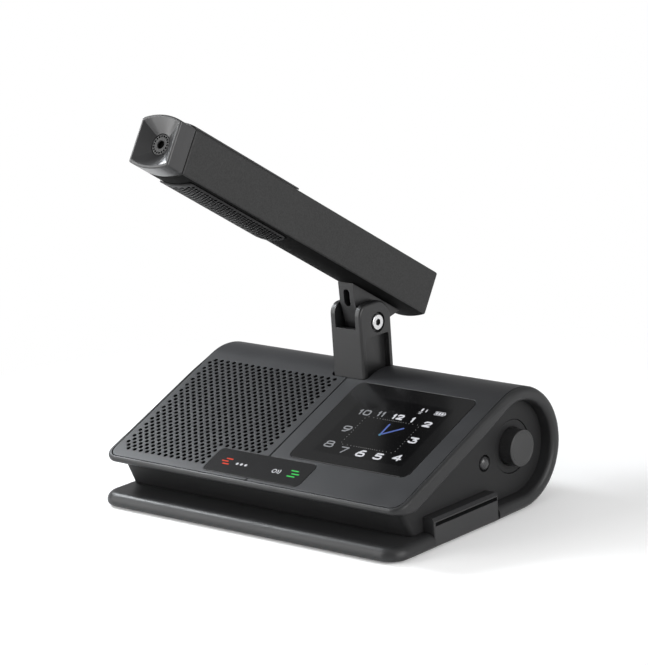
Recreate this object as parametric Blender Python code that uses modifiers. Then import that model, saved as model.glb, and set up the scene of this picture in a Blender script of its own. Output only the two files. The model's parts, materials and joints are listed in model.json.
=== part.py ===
"""Conference delegate unit: a C-shaped table housing with loudspeaker, display, card reader, knob and a
tilting square microphone arm. Metres, +Z up, -Y towards the delegate, +X to the knob side. The origin is the
centre of the anti-slip mat's underside."""

import math

import bmesh
import bpy
from mathutils import Euler, Matrix, Vector

MM = 0.001

# housing
HOUSING_WIDTH = 233.0 * MM
HOUSING_DEPTH = 155.05 * MM
HOUSING_HEIGHT = 73.9 * MM
MAT_PROUD = 0.8 * MM
BAND_THICKNESS = 8.2 * MM
TOP_SLOPE = math.radians(22.38)
LIP_FRONT = 5.4 * MM
NOSE_HEIGHT = 4.0 * MM
CEILING_DEPTH = 21.0 * MM
WALL_FOOT_DEPTH = 24.4 * MM
WALL_LEAN = math.radians(24.0)
BASE_CORNER_RADIUS = 12.0 * MM
LIP_CORNER_RADIUS = 9.0 * MM
RIM_ROUND = 4.0 * MM
SLOPE_ROUND_SHARE = 0.575
NOSE_ROUND_SHARE = 0.46
INNER_ROUND_SHARE = 0.75
FRAME_SPLIT = 100.1 * MM
SIDE_RECESS_RIGHT = 8.6 * MM
SIDE_RECESS_LEFT = 5.1 * MM
CORE_WALL = 2.5 * MM
CORE_CORNER_RADIUS = 5.4 * MM

# running gap between pieces that touch, overrun of cutting tools, and how near counts as the same place
GAP = 0.3 * MM
OVERRUN = 1.0 * MM
NEAR = 0.1 * MM
MERGE = 0.001 * MM

# top panels
PANEL_THICKNESS = 1.8 * MM
PANEL_FRONT = 8.0 * MM
PANEL_INSET = 2.9 * MM
PANEL_SEAM_X = -1.06 * MM
PANEL_CORNER_RADIUS = 7.0 * MM
PANEL_END_ANGLE = math.radians(-30.0)

# display
GLASS_X = (11.0 * MM, 100.6 * MM)
GLASS_SLOPE = (34.1 * MM, 107.8 * MM)
GLASS_THICKNESS = 1.2 * MM
GLASS_PROUD = 0.3 * MM
GLASS_CORNER_RADIUS = 5.0 * MM
LCD_MARGIN = (5.5 * MM, 5.0 * MM)
LCD_THICKNESS = 4.5 * MM
WINDOW_CLEARANCE = 0.8 * MM

# touch bar
TOUCH_X = (-38.0 * MM, 37.1 * MM)
TOUCH_SLOPE = (10.5 * MM, 31.4 * MM)
TOUCH_CORNER_RADIUS = 3.5 * MM
TOUCH_BOARD_MARGIN = 3.0 * MM
BOARD_THICKNESS = 1.6 * MM

# side controls, seen from the right
KNOB_DEPTH = 118.6 * MM
KNOB_HEIGHT = 37.9 * MM
KNOB_RADIUS = 10.9 * MM
KNOB_REACH = 7.9 * MM
KNOB_SUNK = 1.1 * MM
KNOB_EDGE = 0.6 * MM
BEZEL_RADIUS = 15.8 * MM
BEZEL_POCKET = 1.6 * MM
BEZEL_THICKNESS = 1.0 * MM
KNOB_RING_GAP = 0.5 * MM
SHAFT_RADIUS = 3.0 * MM
SHAFT_HOLE_RADIUS = 4.2 * MM
SHAFT_TIP = 4.5 * MM
ENCODER_SIZE = (9.0 * MM, 13.0 * MM, 13.0 * MM)
BUTTON_DEPTH = 92.9 * MM
BUTTON_HEIGHT = 34.4 * MM
BUTTON_RADIUS = 4.1 * MM
BUTTON_HOLE_RADIUS = 5.0 * MM
BUTTON_REACH = 1.4 * MM
BUTTON_DOME = 1.2 * MM
BUTTON_FLANGE_RADIUS = 6.0 * MM
BUTTON_FLANGE = 0.9 * MM
BUTTON_TRAVEL = 1.0 * MM
SWITCH_SIZE = (6.0 * MM, 6.0 * MM, 6.0 * MM)

# card reader
READER_DEPTH = (35.7 * MM, 93.7 * MM)
READER_FACE_INSET = 0.6 * MM
READER_TOP = 17.9 * MM
READER_UNDERSIDE = 1.3 * MM
READER_BLOCK_WIDTH = 11.0 * MM
READER_LENGTH = 56.0 * MM
READER_TRAY_TOP = 17.4 * MM
READER_CHAMFER = 0.9 * MM
READER_TOP_CHAMFER = 1.7 * MM
SLOT_LENGTH = 56.0 * MM
SLOT_FRONT = 36.7 * MM
SLOT_HEIGHTS = (13.3 * MM, 15.5 * MM)
SLOT_END_WALL = 2.0 * MM

# forked post that carries the arm
POST_WIDTH = 24.0 * MM
POST_FRONT = 101.9 * MM
POST_LENGTH = 28.1 * MM
POST_DEPTH = (POST_FRONT, POST_FRONT + POST_LENGTH)
PIVOT = (117.7 * MM, 101.6 * MM)
POST_TOP = 114.5 * MM
POST_FRONT_CORNER = 7.0 * MM
POST_EDGE = 1.6 * MM
FORK_GAP = 15.8 * MM
FORK_FLOOR = 99.8 * MM
FORK_FLOOR_BACK = 90.0 * MM
FORK_SWEEP = 10.2 * MM
FORK_LIP = 3.5 * MM
FORK_SWEEP_START = math.radians(208)
FORK_SWEEP_END = math.radians(283)
POST_FOOT = 54.8 * MM
FLANGE_THICKNESS = 4.0 * MM
FLANGE_X = 19.0 * MM
FLANGE_DEPTH = (98.5 * MM, 133.0 * MM)
POCKET_DEPTH = 4.0 * MM
POCKET_Y = (105.4 * MM, 126.6 * MM)
POCKET_HEIGHTS = (68.0 * MM, 93.8 * MM)
POST_HOLE_MARGIN = (2.0 * MM, 0.7 * MM)
POST_HOLE_CORNER = 3.0 * MM
PEDESTAL_X = 17.0 * MM
PEDESTAL_WALL = 3.0 * MM
PEDESTAL_FRONT_STEP = 0.9 * MM
PEDESTAL_REAR_STEP = 1.0 * MM
PEDESTAL_DEPTH = (POST_DEPTH[0] - PEDESTAL_FRONT_STEP, POST_DEPTH[1] + PEDESTAL_REAR_STEP)
SCREW_SPREAD = 13.0 * MM
COUNTERBORE_RADIUS = 6.2 * MM
COUNTERBORE_DEPTH = 2.0 * MM
PIVOT_HEAD_RADIUS = 4.7 * MM
PIVOT_HEAD_PROUD = 0.3 * MM
PIVOT_SHANK_RADIUS = 2.5 * MM
PIVOT_HOLE_RADIUS = 2.8 * MM
PIVOT_SOCKET_RADIUS = 2.2 * MM
PIVOT_SOCKET_DEPTH = 1.2 * MM
PIVOT_HEAD_LENGTH = 1.9 * MM
NUT_RADIUS = 4.6 * MM
NUT_LENGTH = 1.7 * MM
WASHER_RADIUS = 7.4 * MM

# knuckle under the arm, in arm directions: forward of the pivot, above the pivot
ARM_TILT = math.radians(32.17)
KNUCKLE_WIDTH = 11.6 * MM
HUB_RADIUS = 9.0 * MM
KNUCKLE_FRONT_TOP = (25.1 * MM, 14.9 * MM)
KNUCKLE_FRONT_LOW = (18.4 * MM, 5.4 * MM)
KNUCKLE_REAR_LOW = (-16.7 * MM, 8.6 * MM)
KNUCKLE_REAR_TIP = (-22.9 * MM, 14.9 * MM)
KNUCKLE_EDGE = 1.0 * MM
CABLE_SLOT_WIDTH = 4.6 * MM
CABLE_SLOT_HEIGHTS = (112.6 * MM, 123.4 * MM)
CABLE_SLOT_REACH = 5.6 * MM
CABLE_WINDOW = (2.2 * MM, 5.4 * MM, 8.6 * MM)

# microphone arm, in arm directions
BEAM_WIDTH = 29.9 * MM
BEAM_FLAT_HEIGHT = 26.3 * MM
BEAM_CROWN = 2.8 * MM
BEAM_UNDER = 18.0 * MM
BEAM_FRONT = 211.9 * MM
BEAM_REAR = -36.4 * MM
CAP_LENGTH = 13.3 * MM
BEAM_WALL = 2.2 * MM
BEAM_EDGE = 0.5 * MM
STRIP_WIDTH = 25.0 * MM
STRIP_THICKNESS = 2.0 * MM
STRIP_PROUD = 1.2 * MM
STRIP_TOP = (100.2 * MM, 197.8 * MM)
STRIP_BOTTOM = (99.4 * MM, 187.8 * MM)
FUNNEL_RIM = 1.5 * MM
FUNNEL_DEPTH = 5.1 * MM
DISC_RADIUS = 6.1 * MM
DISC_THICKNESS = 1.0 * MM
DISC_HOLE_RADIUS = 2.3 * MM
CAPSULE_RADIUS = 4.85 * MM
CAPSULE_LENGTH = 4.5 * MM
PLUG_THICKNESS = 2.0 * MM
MIC_BOARD_X = 9.0 * MM
MIC_BOARD_SPAN = (24.0 * MM, 188.0 * MM)
MIC_CAPSULE_RADIUS = 4.8 * MM
MIC_CAPSULE_HEIGHT = 3.4 * MM
MIC_CAPSULE_SHARES = (0.56, 0.72, 0.88)
KNUCKLE_SCREWS = (-11.0 * MM, 13.0 * MM)

# small fasteners
SCREW_RADIUS = 1.4 * MM
SCREW_HEAD_RADIUS = 2.9 * MM
SCREW_HEAD = 1.6 * MM
SCREW_HOLE_RADIUS = 1.7 * MM
SCREW_LENGTH = 9.0 * MM
SCREW_SOCKET_RADIUS = 1.3 * MM

# underside
MAT_SIZE = (194.0 * MM, 76.0 * MM)
MAT_THICKNESS = 1.6 * MM
MAT_CORNER_RADIUS = 6.0 * MM
DOOR_X = (-88.0 * MM, -32.0 * MM)
DOOR_Y = (-23.0 * MM, 26.0 * MM)
DOOR_THICKNESS = 2.0 * MM
DOOR_LEDGE = 2.5 * MM
BATTERY_HEIGHT = 14.5 * MM
BASE_SCREW_INSET = 16.0 * MM
BASE_SCREW_X = HOUSING_WIDTH / 2 - BASE_SCREW_INSET
BASE_SCREW_DEPTHS = (31.0 * MM, 110.0 * MM)
BOSS_RADIUS = 4.0 * MM
BOSS_HEIGHT = 11.0 * MM
BOSS_ROOF = 1.0 * MM

# loudspeaker, under the left panel
SPEAKER_X = -60.0 * MM
SPEAKER_SLOPE = 61.0 * MM
SPEAKER_RADIUS = 29.0 * MM
SPEAKER_OPENING = 24.5 * MM
SPEAKER_FLANGE = 1.6 * MM
SPEAKER_DEPTH = 10.0 * MM
SPEAKER_BACK_RADIUS = 13.5 * MM
MAGNET_RADIUS = 14.0 * MM
MAGNET_LENGTH = 4.0 * MM
CONE_THICKNESS = 0.7 * MM
CONE_RADIUS = 22.5 * MM
CONE_NECK = 7.0 * MM
CONE_DEPTH = 6.5 * MM

# boards
MAIN_BOARD_X = (-10.0 * MM, 88.0 * MM)
MAIN_BOARD_DEPTH = (38.5 * MM, 91.0 * MM)
SIDE_BOARD_MARGINS = (8.9 * MM, 9.4 * MM)
SIDE_BOARD_DEPTH = (BUTTON_DEPTH - SIDE_BOARD_MARGINS[0], KNOB_DEPTH + SIDE_BOARD_MARGINS[1])
SIDE_BOARD_TOP = 50.0 * MM
CHIP_SIZE = (16.0 * MM, 16.0 * MM, 1.4 * MM)

# facets of the round shapes
ROUND_STEPS = 32
SMALL_STEPS = 16
REAR_ARC_STEPS = 15
CORNER_STEPS = 4
EDGE_STEPS = 2
RIM_STEPS = 3
FORK_STEPS = 8
HUB_STEPS = 12
CROWN_STEPS = 6
FUNNEL_STEPS = 8
DISC_STEPS = 24
MIC_STEPS = 20
PI = math.pi
QUARTER = PI / 2

# edges that turn by more than this are shaded sharp, and by more than CREASE are rim edges to round
SHARP_ANGLE = math.radians(35)
CREASE = math.radians(27)
FLAT_ANGLE = math.radians(0.5)
SQUARE_ANGLE = math.radians(57)
PARALLEL = 0.999

parts = None
cutters = None


def clear_scene():
    for thing in list(bpy.data.objects):
        bpy.data.objects.remove(thing, do_unlink=True)


def collection(name):
    group = bpy.data.collections.new(name)
    bpy.context.scene.collection.children.link(group)
    return group


def material(name, colour, roughness, metallic=0.0):
    slot = bpy.data.materials.new(name)
    slot.use_nodes = True
    shader = slot.node_tree.nodes["Principled BSDF"]
    shader.inputs["Base Color"].default_value = (*colour, 1.0)
    shader.inputs["Roughness"].default_value = roughness
    shader.inputs["Metallic"].default_value = metallic
    slot.diffuse_color = (*colour, 1.0)
    return slot


def back(depth):
    """Y of a place that lies depth behind the base's front edge."""
    return depth - HOUSING_DEPTH / 2


def finish(thing, look):
    """Name the object's material after it, and put it with the parts."""
    colour, roughness, metallic = look
    thing.data.materials.clear()
    thing.data.materials.append(material(thing.name + "_material", colour, roughness, metallic))
    for face in thing.data.polygons:
        face.use_smooth = True
    thing.data.set_sharp_from_angle(angle=SHARP_ANGLE)
    return thing


def from_bmesh(name, shape, group=None):
    bmesh.ops.recalc_face_normals(shape, faces=shape.faces)
    mesh = bpy.data.meshes.new(name)
    shape.to_mesh(mesh)
    shape.free()
    thing = bpy.data.objects.new(name, mesh)
    (group or parts).objects.link(thing)
    return thing


def to_bmesh(thing):
    shape = bmesh.new()
    shape.from_mesh(thing.data)
    return shape


def store(thing, shape):
    bmesh.ops.recalc_face_normals(shape, faces=shape.faces)
    shape.to_mesh(thing.data)
    shape.free()


def outline_solid(name, points, low, high, turn=None, group=None):
    """A flat closed outline drawn as a curve, given thickness along its own Z from low to high, then turned."""
    curve = bpy.data.curves.new(name + "_outline", "CURVE")
    curve.dimensions = "2D"
    curve.fill_mode = "BOTH"
    line = curve.splines.new("POLY")
    line.points.add(len(points) - 1)
    for spot, place in zip(line.points, points):
        spot.co = (place[0], place[1], 0, 1)
    line.use_cyclic_u = True
    curve.extrude = (high - low) / 2
    drawn = bpy.data.objects.new(name + "_curve", curve)
    bpy.context.scene.collection.objects.link(drawn)
    bpy.context.view_layer.update()
    mesh = bpy.data.meshes.new_from_object(drawn)
    bpy.data.objects.remove(drawn, do_unlink=True)
    mesh.transform(Matrix.Translation((0, 0, (low + high) / 2)))
    if turn is not None:
        mesh.transform(turn)
    mesh.name = name
    shape = bmesh.new()
    shape.from_mesh(mesh)
    bmesh.ops.remove_doubles(shape, verts=shape.verts, dist=MERGE)
    bmesh.ops.dissolve_limit(shape, angle_limit=FLAT_ANGLE, verts=shape.verts, edges=shape.edges)
    bpy.data.meshes.remove(mesh)
    return from_bmesh(name, shape, group)


SIDEWAYS = Euler((QUARTER, 0, QUARTER)).to_matrix().to_4x4()


def box(name, x, y, z, group=None):
    shape = bmesh.new()
    bmesh.ops.create_cube(shape, size=1)
    size = Vector((x[1] - x[0], y[1] - y[0], z[1] - z[0]))
    middle = Vector((x[0] + x[1], y[0] + y[1], z[0] + z[1])) / 2
    bmesh.ops.scale(shape, vec=size, verts=shape.verts)
    bmesh.ops.translate(shape, vec=middle, verts=shape.verts)
    return from_bmesh(name, shape, group)


def rod(name, place, direction, radius, low, high, steps=ROUND_STEPS, group=None, tip=None):
    """A round bar about the line through place, from low to high along direction."""
    shape = bmesh.new()
    bmesh.ops.create_cone(shape, cap_ends=True, segments=steps, radius1=radius, radius2=tip or radius,
                          depth=high - low)
    bmesh.ops.translate(shape, vec=(0, 0, (low + high) / 2), verts=shape.verts)
    turn = Vector(direction).to_track_quat("Z", "Y").to_matrix().to_4x4()
    bmesh.ops.transform(shape, matrix=Matrix.Translation(place) @ turn, verts=shape.verts)
    return from_bmesh(name, shape, group)


def turned(name, profile, place, direction, steps=ROUND_STEPS, group=None):
    """A closed shape turned about the line through place: profile holds (radius, height) from axis to axis."""
    shape = bmesh.new()
    spots = [shape.verts.new((radius, 0, height)) for radius, height in profile]
    ring = profile[0][0] > 0
    pairs = list(zip(spots, spots[1:])) + ([(spots[-1], spots[0])] if ring else [])
    for first, second in pairs:
        shape.edges.new((first, second))
    mesh = bpy.data.meshes.new(name + "_profile")
    shape.to_mesh(mesh)
    shape.free()
    spun = bpy.data.objects.new(name + "_spun", mesh)
    bpy.context.scene.collection.objects.link(spun)
    screw = spun.modifiers.new("turn", "SCREW")
    screw.steps = steps
    screw.render_steps = steps
    screw.use_merge_vertices = True
    screw.merge_threshold = MERGE
    bpy.context.view_layer.update()
    done = bpy.data.meshes.new_from_object(spun.evaluated_get(bpy.context.evaluated_depsgraph_get()))
    bpy.data.objects.remove(spun, do_unlink=True)
    turn = Vector(direction).to_track_quat("Z", "Y").to_matrix().to_4x4()
    done.transform(Matrix.Translation(place) @ turn)
    shape = bmesh.new()
    shape.from_mesh(done)
    bmesh.ops.remove_doubles(shape, verts=shape.verts, dist=MERGE)
    bpy.data.meshes.remove(done)
    return from_bmesh(name, shape, group)


def cut(thing, tool, operation="DIFFERENCE"):
    """Cut tool out of thing, or join it on, and keep it hidden among the cutters."""
    for group in list(tool.users_collection):
        group.objects.unlink(tool)
    if tool.name not in cutters.objects:
        cutters.objects.link(tool)
    tool.hide_render = True
    tool.display_type = "WIRE"
    change = thing.modifiers.new(tool.name, "BOOLEAN")
    change.operation = operation
    change.object = tool
    change.solver = "EXACT"
    return thing


def join(thing, tool):
    return cut(thing, tool, "UNION")


def round_edges(thing, chosen, radius, steps=EDGE_STEPS):
    """Round the mesh edges that chosen picks by the edge's two ends and its face angle."""
    shape = to_bmesh(thing)
    picked = [edge for edge in shape.edges if edge.is_manifold and chosen(edge)]
    bmesh.ops.bevel(shape, geom=picked, offset=radius, segments=steps, profile=0.5, affect="EDGES",
                    clamp_overlap=True)
    store(thing, shape)
    return thing


def along(edge, axis):
    """Whether the edge runs along the given axis number."""
    run = (edge.verts[0].co - edge.verts[1].co).normalized()
    return abs(run[axis]) > PARALLEL


def hang_on(thing, parent):
    """Put the piece on a moving parent together with its cutters."""
    thing.parent = parent
    for change in thing.modifiers:
        if change.type == "BOOLEAN":
            change.object.parent = parent
    return thing


def move_origin(thing, place):
    thing.data.transform(Matrix.Translation(-Vector(place)))
    thing.location = place
    return thing


# the housing's side profile, as (depth from the front edge, height)
REAR_RADIUS = (HOUSING_HEIGHT - MAT_PROUD) / 2
REAR_DEPTH = HOUSING_DEPTH - REAR_RADIUS
REAR_HEIGHT = MAT_PROUD + REAR_RADIUS
BASE_TOP = MAT_PROUD + BAND_THICKNESS
INNER_RADIUS = REAR_RADIUS - BAND_THICKNESS
SLOPE_RUN = math.tan(TOP_SLOPE)
PLANE_HEIGHT = REAR_HEIGHT + REAR_RADIUS / math.cos(TOP_SLOPE) - SLOPE_RUN * REAR_DEPTH


def top_height(depth):
    return PLANE_HEIGHT + SLOPE_RUN * depth


def arc(radius, start, end, steps):
    """Points on an arc about the rear centre; angles rise from straight back."""
    turns = [start + (end - start) * step / steps for step in range(steps + 1)]
    return [(REAR_DEPTH + radius * math.cos(turn), REAR_HEIGHT + radius * math.sin(turn)) for turn in turns]


def lip_corners():
    upper = (LIP_FRONT, top_height(LIP_FRONT))
    lower = (upper[0] + NOSE_HEIGHT * math.sin(TOP_SLOPE), upper[1] - NOSE_HEIGHT * math.cos(TOP_SLOPE))
    return upper, lower


def tangent_turn(place, radius):
    """Angle on the rear circle where the line from place touches its upper front side."""
    run, rise = REAR_DEPTH - place[0], REAR_HEIGHT - place[1]
    span = math.hypot(run, rise)
    slope = math.atan2(rise, run) + math.asin(radius / span)
    return QUARTER + slope


def cavity_outline(shrink=0):
    """The space inside the C, kept shrink away from it all round."""
    ceiling = lip_corners()[1][1] - shrink
    start = (CEILING_DEPTH + shrink, ceiling)
    radius = INNER_RADIUS - shrink
    floor = BASE_TOP + shrink
    wall_run = math.tan(WALL_LEAN)
    wall_top = WALL_FOOT_DEPTH - (ceiling - BASE_TOP) * wall_run
    wall_foot = WALL_FOOT_DEPTH - shrink * wall_run
    curve = arc(radius, tangent_turn(start, radius), -QUARTER, REAR_ARC_STEPS)
    return [(wall_top, ceiling), start] + curve[:-1] + [(REAR_DEPTH, floor), (wall_foot, floor)]


def shifted(points):
    return [(back(depth), height) for depth, height in points]


def at_split(place):
    """Whether a place lies where two pieces of the shell meet."""
    depth = place.y - back(0)
    at_rear = abs(place.z - REAR_HEIGHT) < GAP and depth > REAR_DEPTH
    return at_rear or abs(depth - FRAME_SPLIT) < GAP and place.z > REAR_HEIGHT


def rim_share(middle):
    """Share of the full rim rounding that the band's edge gets at this place."""
    depth = middle.y - back(0)
    inside = math.hypot(depth - REAR_DEPTH, middle.z - REAR_HEIGHT) < (REAR_RADIUS + INNER_RADIUS) / 2
    if middle.z < BASE_TOP + NEAR:
        return 1.0
    if depth < LIP_FRONT + LIP_CORNER_RADIUS + NOSE_HEIGHT:
        return NOSE_ROUND_SHARE
    if depth > REAR_DEPTH - REAR_RADIUS * math.sin(TOP_SLOPE):
        return INNER_ROUND_SHARE if inside else 1.0
    if middle.z < top_height(depth) - GAP:
        return NOSE_ROUND_SHARE
    return SLOPE_ROUND_SHARE


def shell_piece(name, points, slide):
    """One piece of the C-shaped band, with the corners rounded in plan and its rim edges rounded."""
    half = HOUSING_WIDTH / 2
    shell = outline_solid(name, shifted(points), -half, half, SIDEWAYS)
    front = back(0)
    upper, lower = lip_corners()
    nose_middle = (upper[1] + lower[1]) / 2

    def base_corner(edge):
        return along(edge, 2) and abs(edge.verts[0].co.y - front) < NEAR

    def nose_corner(edge):
        middle = (edge.verts[0].co + edge.verts[1].co) / 2
        near = abs(middle.z - nose_middle) < NEAR and middle.y < back(CEILING_DEPTH)
        return near and not along(edge, 0)

    round_edges(shell, base_corner, BASE_CORNER_RADIUS, CORNER_STEPS)
    round_edges(shell, nose_corner, LIP_CORNER_RADIUS, CORNER_STEPS)
    shape = to_bmesh(shell)
    weight = shape.edges.layers.float.new("bevel_weight_edge")
    shape.normal_update()
    for edge in shape.edges:
        if edge.calc_face_angle(0) > CREASE and not all(at_split(spot.co) for spot in edge.verts):
            edge[weight] = rim_share((edge.verts[0].co + edge.verts[1].co) / 2)
    store(shell, shape)
    rim = shell.modifiers.new("rim", "BEVEL")
    rim.width = RIM_ROUND
    rim.segments = RIM_STEPS
    rim.limit_method = "WEIGHT"
    rim.use_clamp_overlap = True
    rim.loop_slide = slide
    return shell


def ceiling_place(depth):
    """Point of the straight ceiling at the given depth."""
    start = (CEILING_DEPTH, lip_corners()[1][1])
    lean = tangent_turn(start, INNER_RADIUS) - QUARTER
    return (depth, start[1] + (depth - start[0]) * math.tan(lean))


def build_outer_shell():
    """The C in three pieces: the base with the lower half of the rear arc, the rear cover above it, and the
    sloping frame with the lip."""
    upper_lip, lower_lip = lip_corners()
    ceiling = (CEILING_DEPTH, lower_lip[1])
    split_out = GAP / 2 / REAR_RADIUS
    split_in = GAP / 2 / INNER_RADIUS
    steps = REAR_ARC_STEPS // 2
    base = [(0, BASE_TOP), (0, MAT_PROUD), (REAR_DEPTH, MAT_PROUD)]
    base += arc(REAR_RADIUS, -QUARTER, -split_out, steps)[1:]
    base += arc(INNER_RADIUS, -split_in, -QUARTER, steps)[:-1] + [(REAR_DEPTH, BASE_TOP)]
    frame_end, cover_start = FRAME_SPLIT - GAP / 2, FRAME_SPLIT + GAP / 2
    cover = arc(REAR_RADIUS, split_out, QUARTER + TOP_SLOPE, steps + 2)
    cover += [(cover_start, top_height(cover_start)), ceiling_place(cover_start)]
    cover += arc(INNER_RADIUS, tangent_turn(ceiling, INNER_RADIUS), split_in, steps + 2)
    frame = [(frame_end, top_height(frame_end)), upper_lip, lower_lip, ceiling, ceiling_place(frame_end)]
    return (shell_piece("lower_shell", base, True), shell_piece("rear_cover", cover, False),
            shell_piece("top_frame", frame, False))


def panel_outline(skin, lift=0):
    """Side profile of the curved top panels: from the front groove over the rear arc."""
    start = PANEL_FRONT * math.cos(TOP_SLOPE)
    out = Vector((-math.sin(TOP_SLOPE), math.cos(TOP_SLOPE)))
    front = Vector((start, top_height(start)))
    steps = REAR_ARC_STEPS - 3
    above = [tuple(front + out * lift)]
    above += arc(REAR_RADIUS + lift, QUARTER + TOP_SLOPE, PANEL_END_ANGLE, steps)
    below = [tuple(front - out * skin)]
    below += arc(REAR_RADIUS - skin, QUARTER + TOP_SLOPE, PANEL_END_ANGLE, steps)
    return above + below[::-1]


def build_panel(name, x, corner_x):
    panel = outline_solid(name, shifted(panel_outline(PANEL_THICKNESS)), x[0], x[1], SIDEWAYS)
    front = back(PANEL_FRONT)

    def corner(edge):
        middle = (edge.verts[0].co + edge.verts[1].co) / 2
        near = middle.y < front + PANEL_THICKNESS and abs(middle.x - corner_x) < NEAR
        return near and edge.calc_length() < PANEL_THICKNESS + NEAR

    return round_edges(panel, corner, PANEL_CORNER_RADIUS, CORNER_STEPS)


def rounded_rectangle(x, y, radius, steps=CORNER_STEPS):
    points = []
    corners = [(x[1] - radius, y[1] - radius, 0), (x[0] + radius, y[1] - radius, 1),
               (x[0] + radius, y[0] + radius, 2), (x[1] - radius, y[0] + radius, 3)]
    for across, up, quarter in corners:
        for step in range(steps + 1):
            turn = QUARTER * (quarter + step / steps)
            points.append((across + radius * math.cos(turn), up + radius * math.sin(turn)))
    return points


def on_slope():
    """Turns a shape drawn with X across and Y up the slope onto the top plane, its Z straight out of it."""
    return Matrix.Translation((0, back(0), PLANE_HEIGHT)) @ Matrix.Rotation(TOP_SLOPE, 4, "X")


def slope_plate(name, x, slope, radius, low, high, group=None):
    return outline_solid(name, rounded_rectangle(x, slope, radius), low, high, on_slope(), group)


def grown(span, amount):
    return (span[0] - amount, span[1] + amount)


def build_housing():
    lower, cover, frame = build_outer_shell()
    half = HOUSING_WIDTH / 2
    edge = half - PANEL_INSET
    left_x = (-edge, PANEL_SEAM_X - GAP / 2)
    right_x = (PANEL_SEAM_X + GAP / 2, edge)
    speaker_panel = build_panel("speaker_panel", left_x, left_x[0])
    display_panel = build_panel("display_panel", right_x, right_x[1])

    pocket_points = shifted(panel_outline(PANEL_THICKNESS + GAP, PANEL_THICKNESS))
    pocket = outline_solid("panel_pocket", pocket_points, -edge - GAP, edge + GAP, SIDEWAYS)
    move = GAP * math.cos(TOP_SLOPE)
    front = back(PANEL_FRONT)
    shape = to_bmesh(pocket)
    for spot in shape.verts:
        if spot.co.y < front + PANEL_THICKNESS * 2:
            spot.co.y -= move
            spot.co.z -= GAP * math.sin(TOP_SLOPE)
    store(pocket, shape)
    lift = PANEL_THICKNESS * 3

    def pocket_corner(edge):
        middle = (edge.verts[0].co + edge.verts[1].co) / 2
        return middle.y < front + PANEL_THICKNESS * 2 and not along(edge, 0) and edge.calc_length() < lift

    round_edges(pocket, pocket_corner, PANEL_CORNER_RADIUS + GAP, CORNER_STEPS)
    for piece in (lower, cover, frame):
        cut(piece, pocket)

    glass = slope_plate("display_glass", GLASS_X, GLASS_SLOPE, GLASS_CORNER_RADIUS,
                        GLASS_PROUD - GLASS_THICKNESS, GLASS_PROUD)
    glass_pocket = slope_plate("glass_pocket", grown(GLASS_X, GAP), grown(GLASS_SLOPE, GAP),
                               GLASS_CORNER_RADIUS + GAP, GLASS_PROUD - GLASS_THICKNESS - GAP, PANEL_THICKNESS)
    cut(display_panel, glass_pocket)
    lcd_x = grown(GLASS_X, -LCD_MARGIN[0])
    lcd_slope = grown(GLASS_SLOPE, -LCD_MARGIN[1])
    lcd_top = GLASS_PROUD - GLASS_THICKNESS - GAP
    lcd = slope_plate("lcd_module", lcd_x, lcd_slope, WINDOW_CLEARANCE, lcd_top - LCD_THICKNESS, lcd_top)
    lcd_window = slope_plate("lcd_window", grown(lcd_x, WINDOW_CLEARANCE), grown(lcd_slope, WINDOW_CLEARANCE),
                             WINDOW_CLEARANCE * 2, -READER_TOP, READER_TOP)
    cut(display_panel, lcd_window)
    cut(frame, lcd_window)

    touch = slope_plate("touch_glass", TOUCH_X, TOUCH_SLOPE, TOUCH_CORNER_RADIUS,
                        GLASS_PROUD - GLASS_THICKNESS, GLASS_PROUD)
    touch_pocket = slope_plate("touch_pocket", grown(TOUCH_X, GAP), grown(TOUCH_SLOPE, GAP),
                               TOUCH_CORNER_RADIUS + GAP, lcd_top, PANEL_THICKNESS)
    cut(display_panel, touch_pocket)
    cut(speaker_panel, touch_pocket)
    board_x = grown(TOUCH_X, -TOUCH_BOARD_MARGIN)
    board_slope = grown(TOUCH_SLOPE, -TOUCH_BOARD_MARGIN)
    board = slope_plate("touch_board", board_x, board_slope, WINDOW_CLEARANCE, lcd_top - BOARD_THICKNESS,
                        lcd_top)
    board_window = slope_plate("touch_window", grown(board_x, WINDOW_CLEARANCE),
                               grown(board_slope, WINDOW_CLEARANCE), WINDOW_CLEARANCE * 2,
                               lcd_top - BOARD_THICKNESS - GAP, READER_TOP)
    cut(display_panel, board_window)
    cut(speaker_panel, board_window)
    cut(frame, board_window)

    hole_x = POST_WIDTH / 2 + POST_HOLE_MARGIN[0]
    hole_y = (back(POST_DEPTH[0] - POST_HOLE_MARGIN[1]), back(POST_DEPTH[1] + POST_HOLE_MARGIN[1]))
    hole_points = rounded_rectangle((-hole_x, hole_x), hole_y, POST_HOLE_CORNER)
    post_hole = outline_solid("post_hole", hole_points, REAR_HEIGHT, POST_TOP)
    for piece in (cover, display_panel, speaker_panel):
        cut(piece, post_hole)

    return lower, cover, frame, speaker_panel, display_panel, glass, lcd, touch, board


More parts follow.
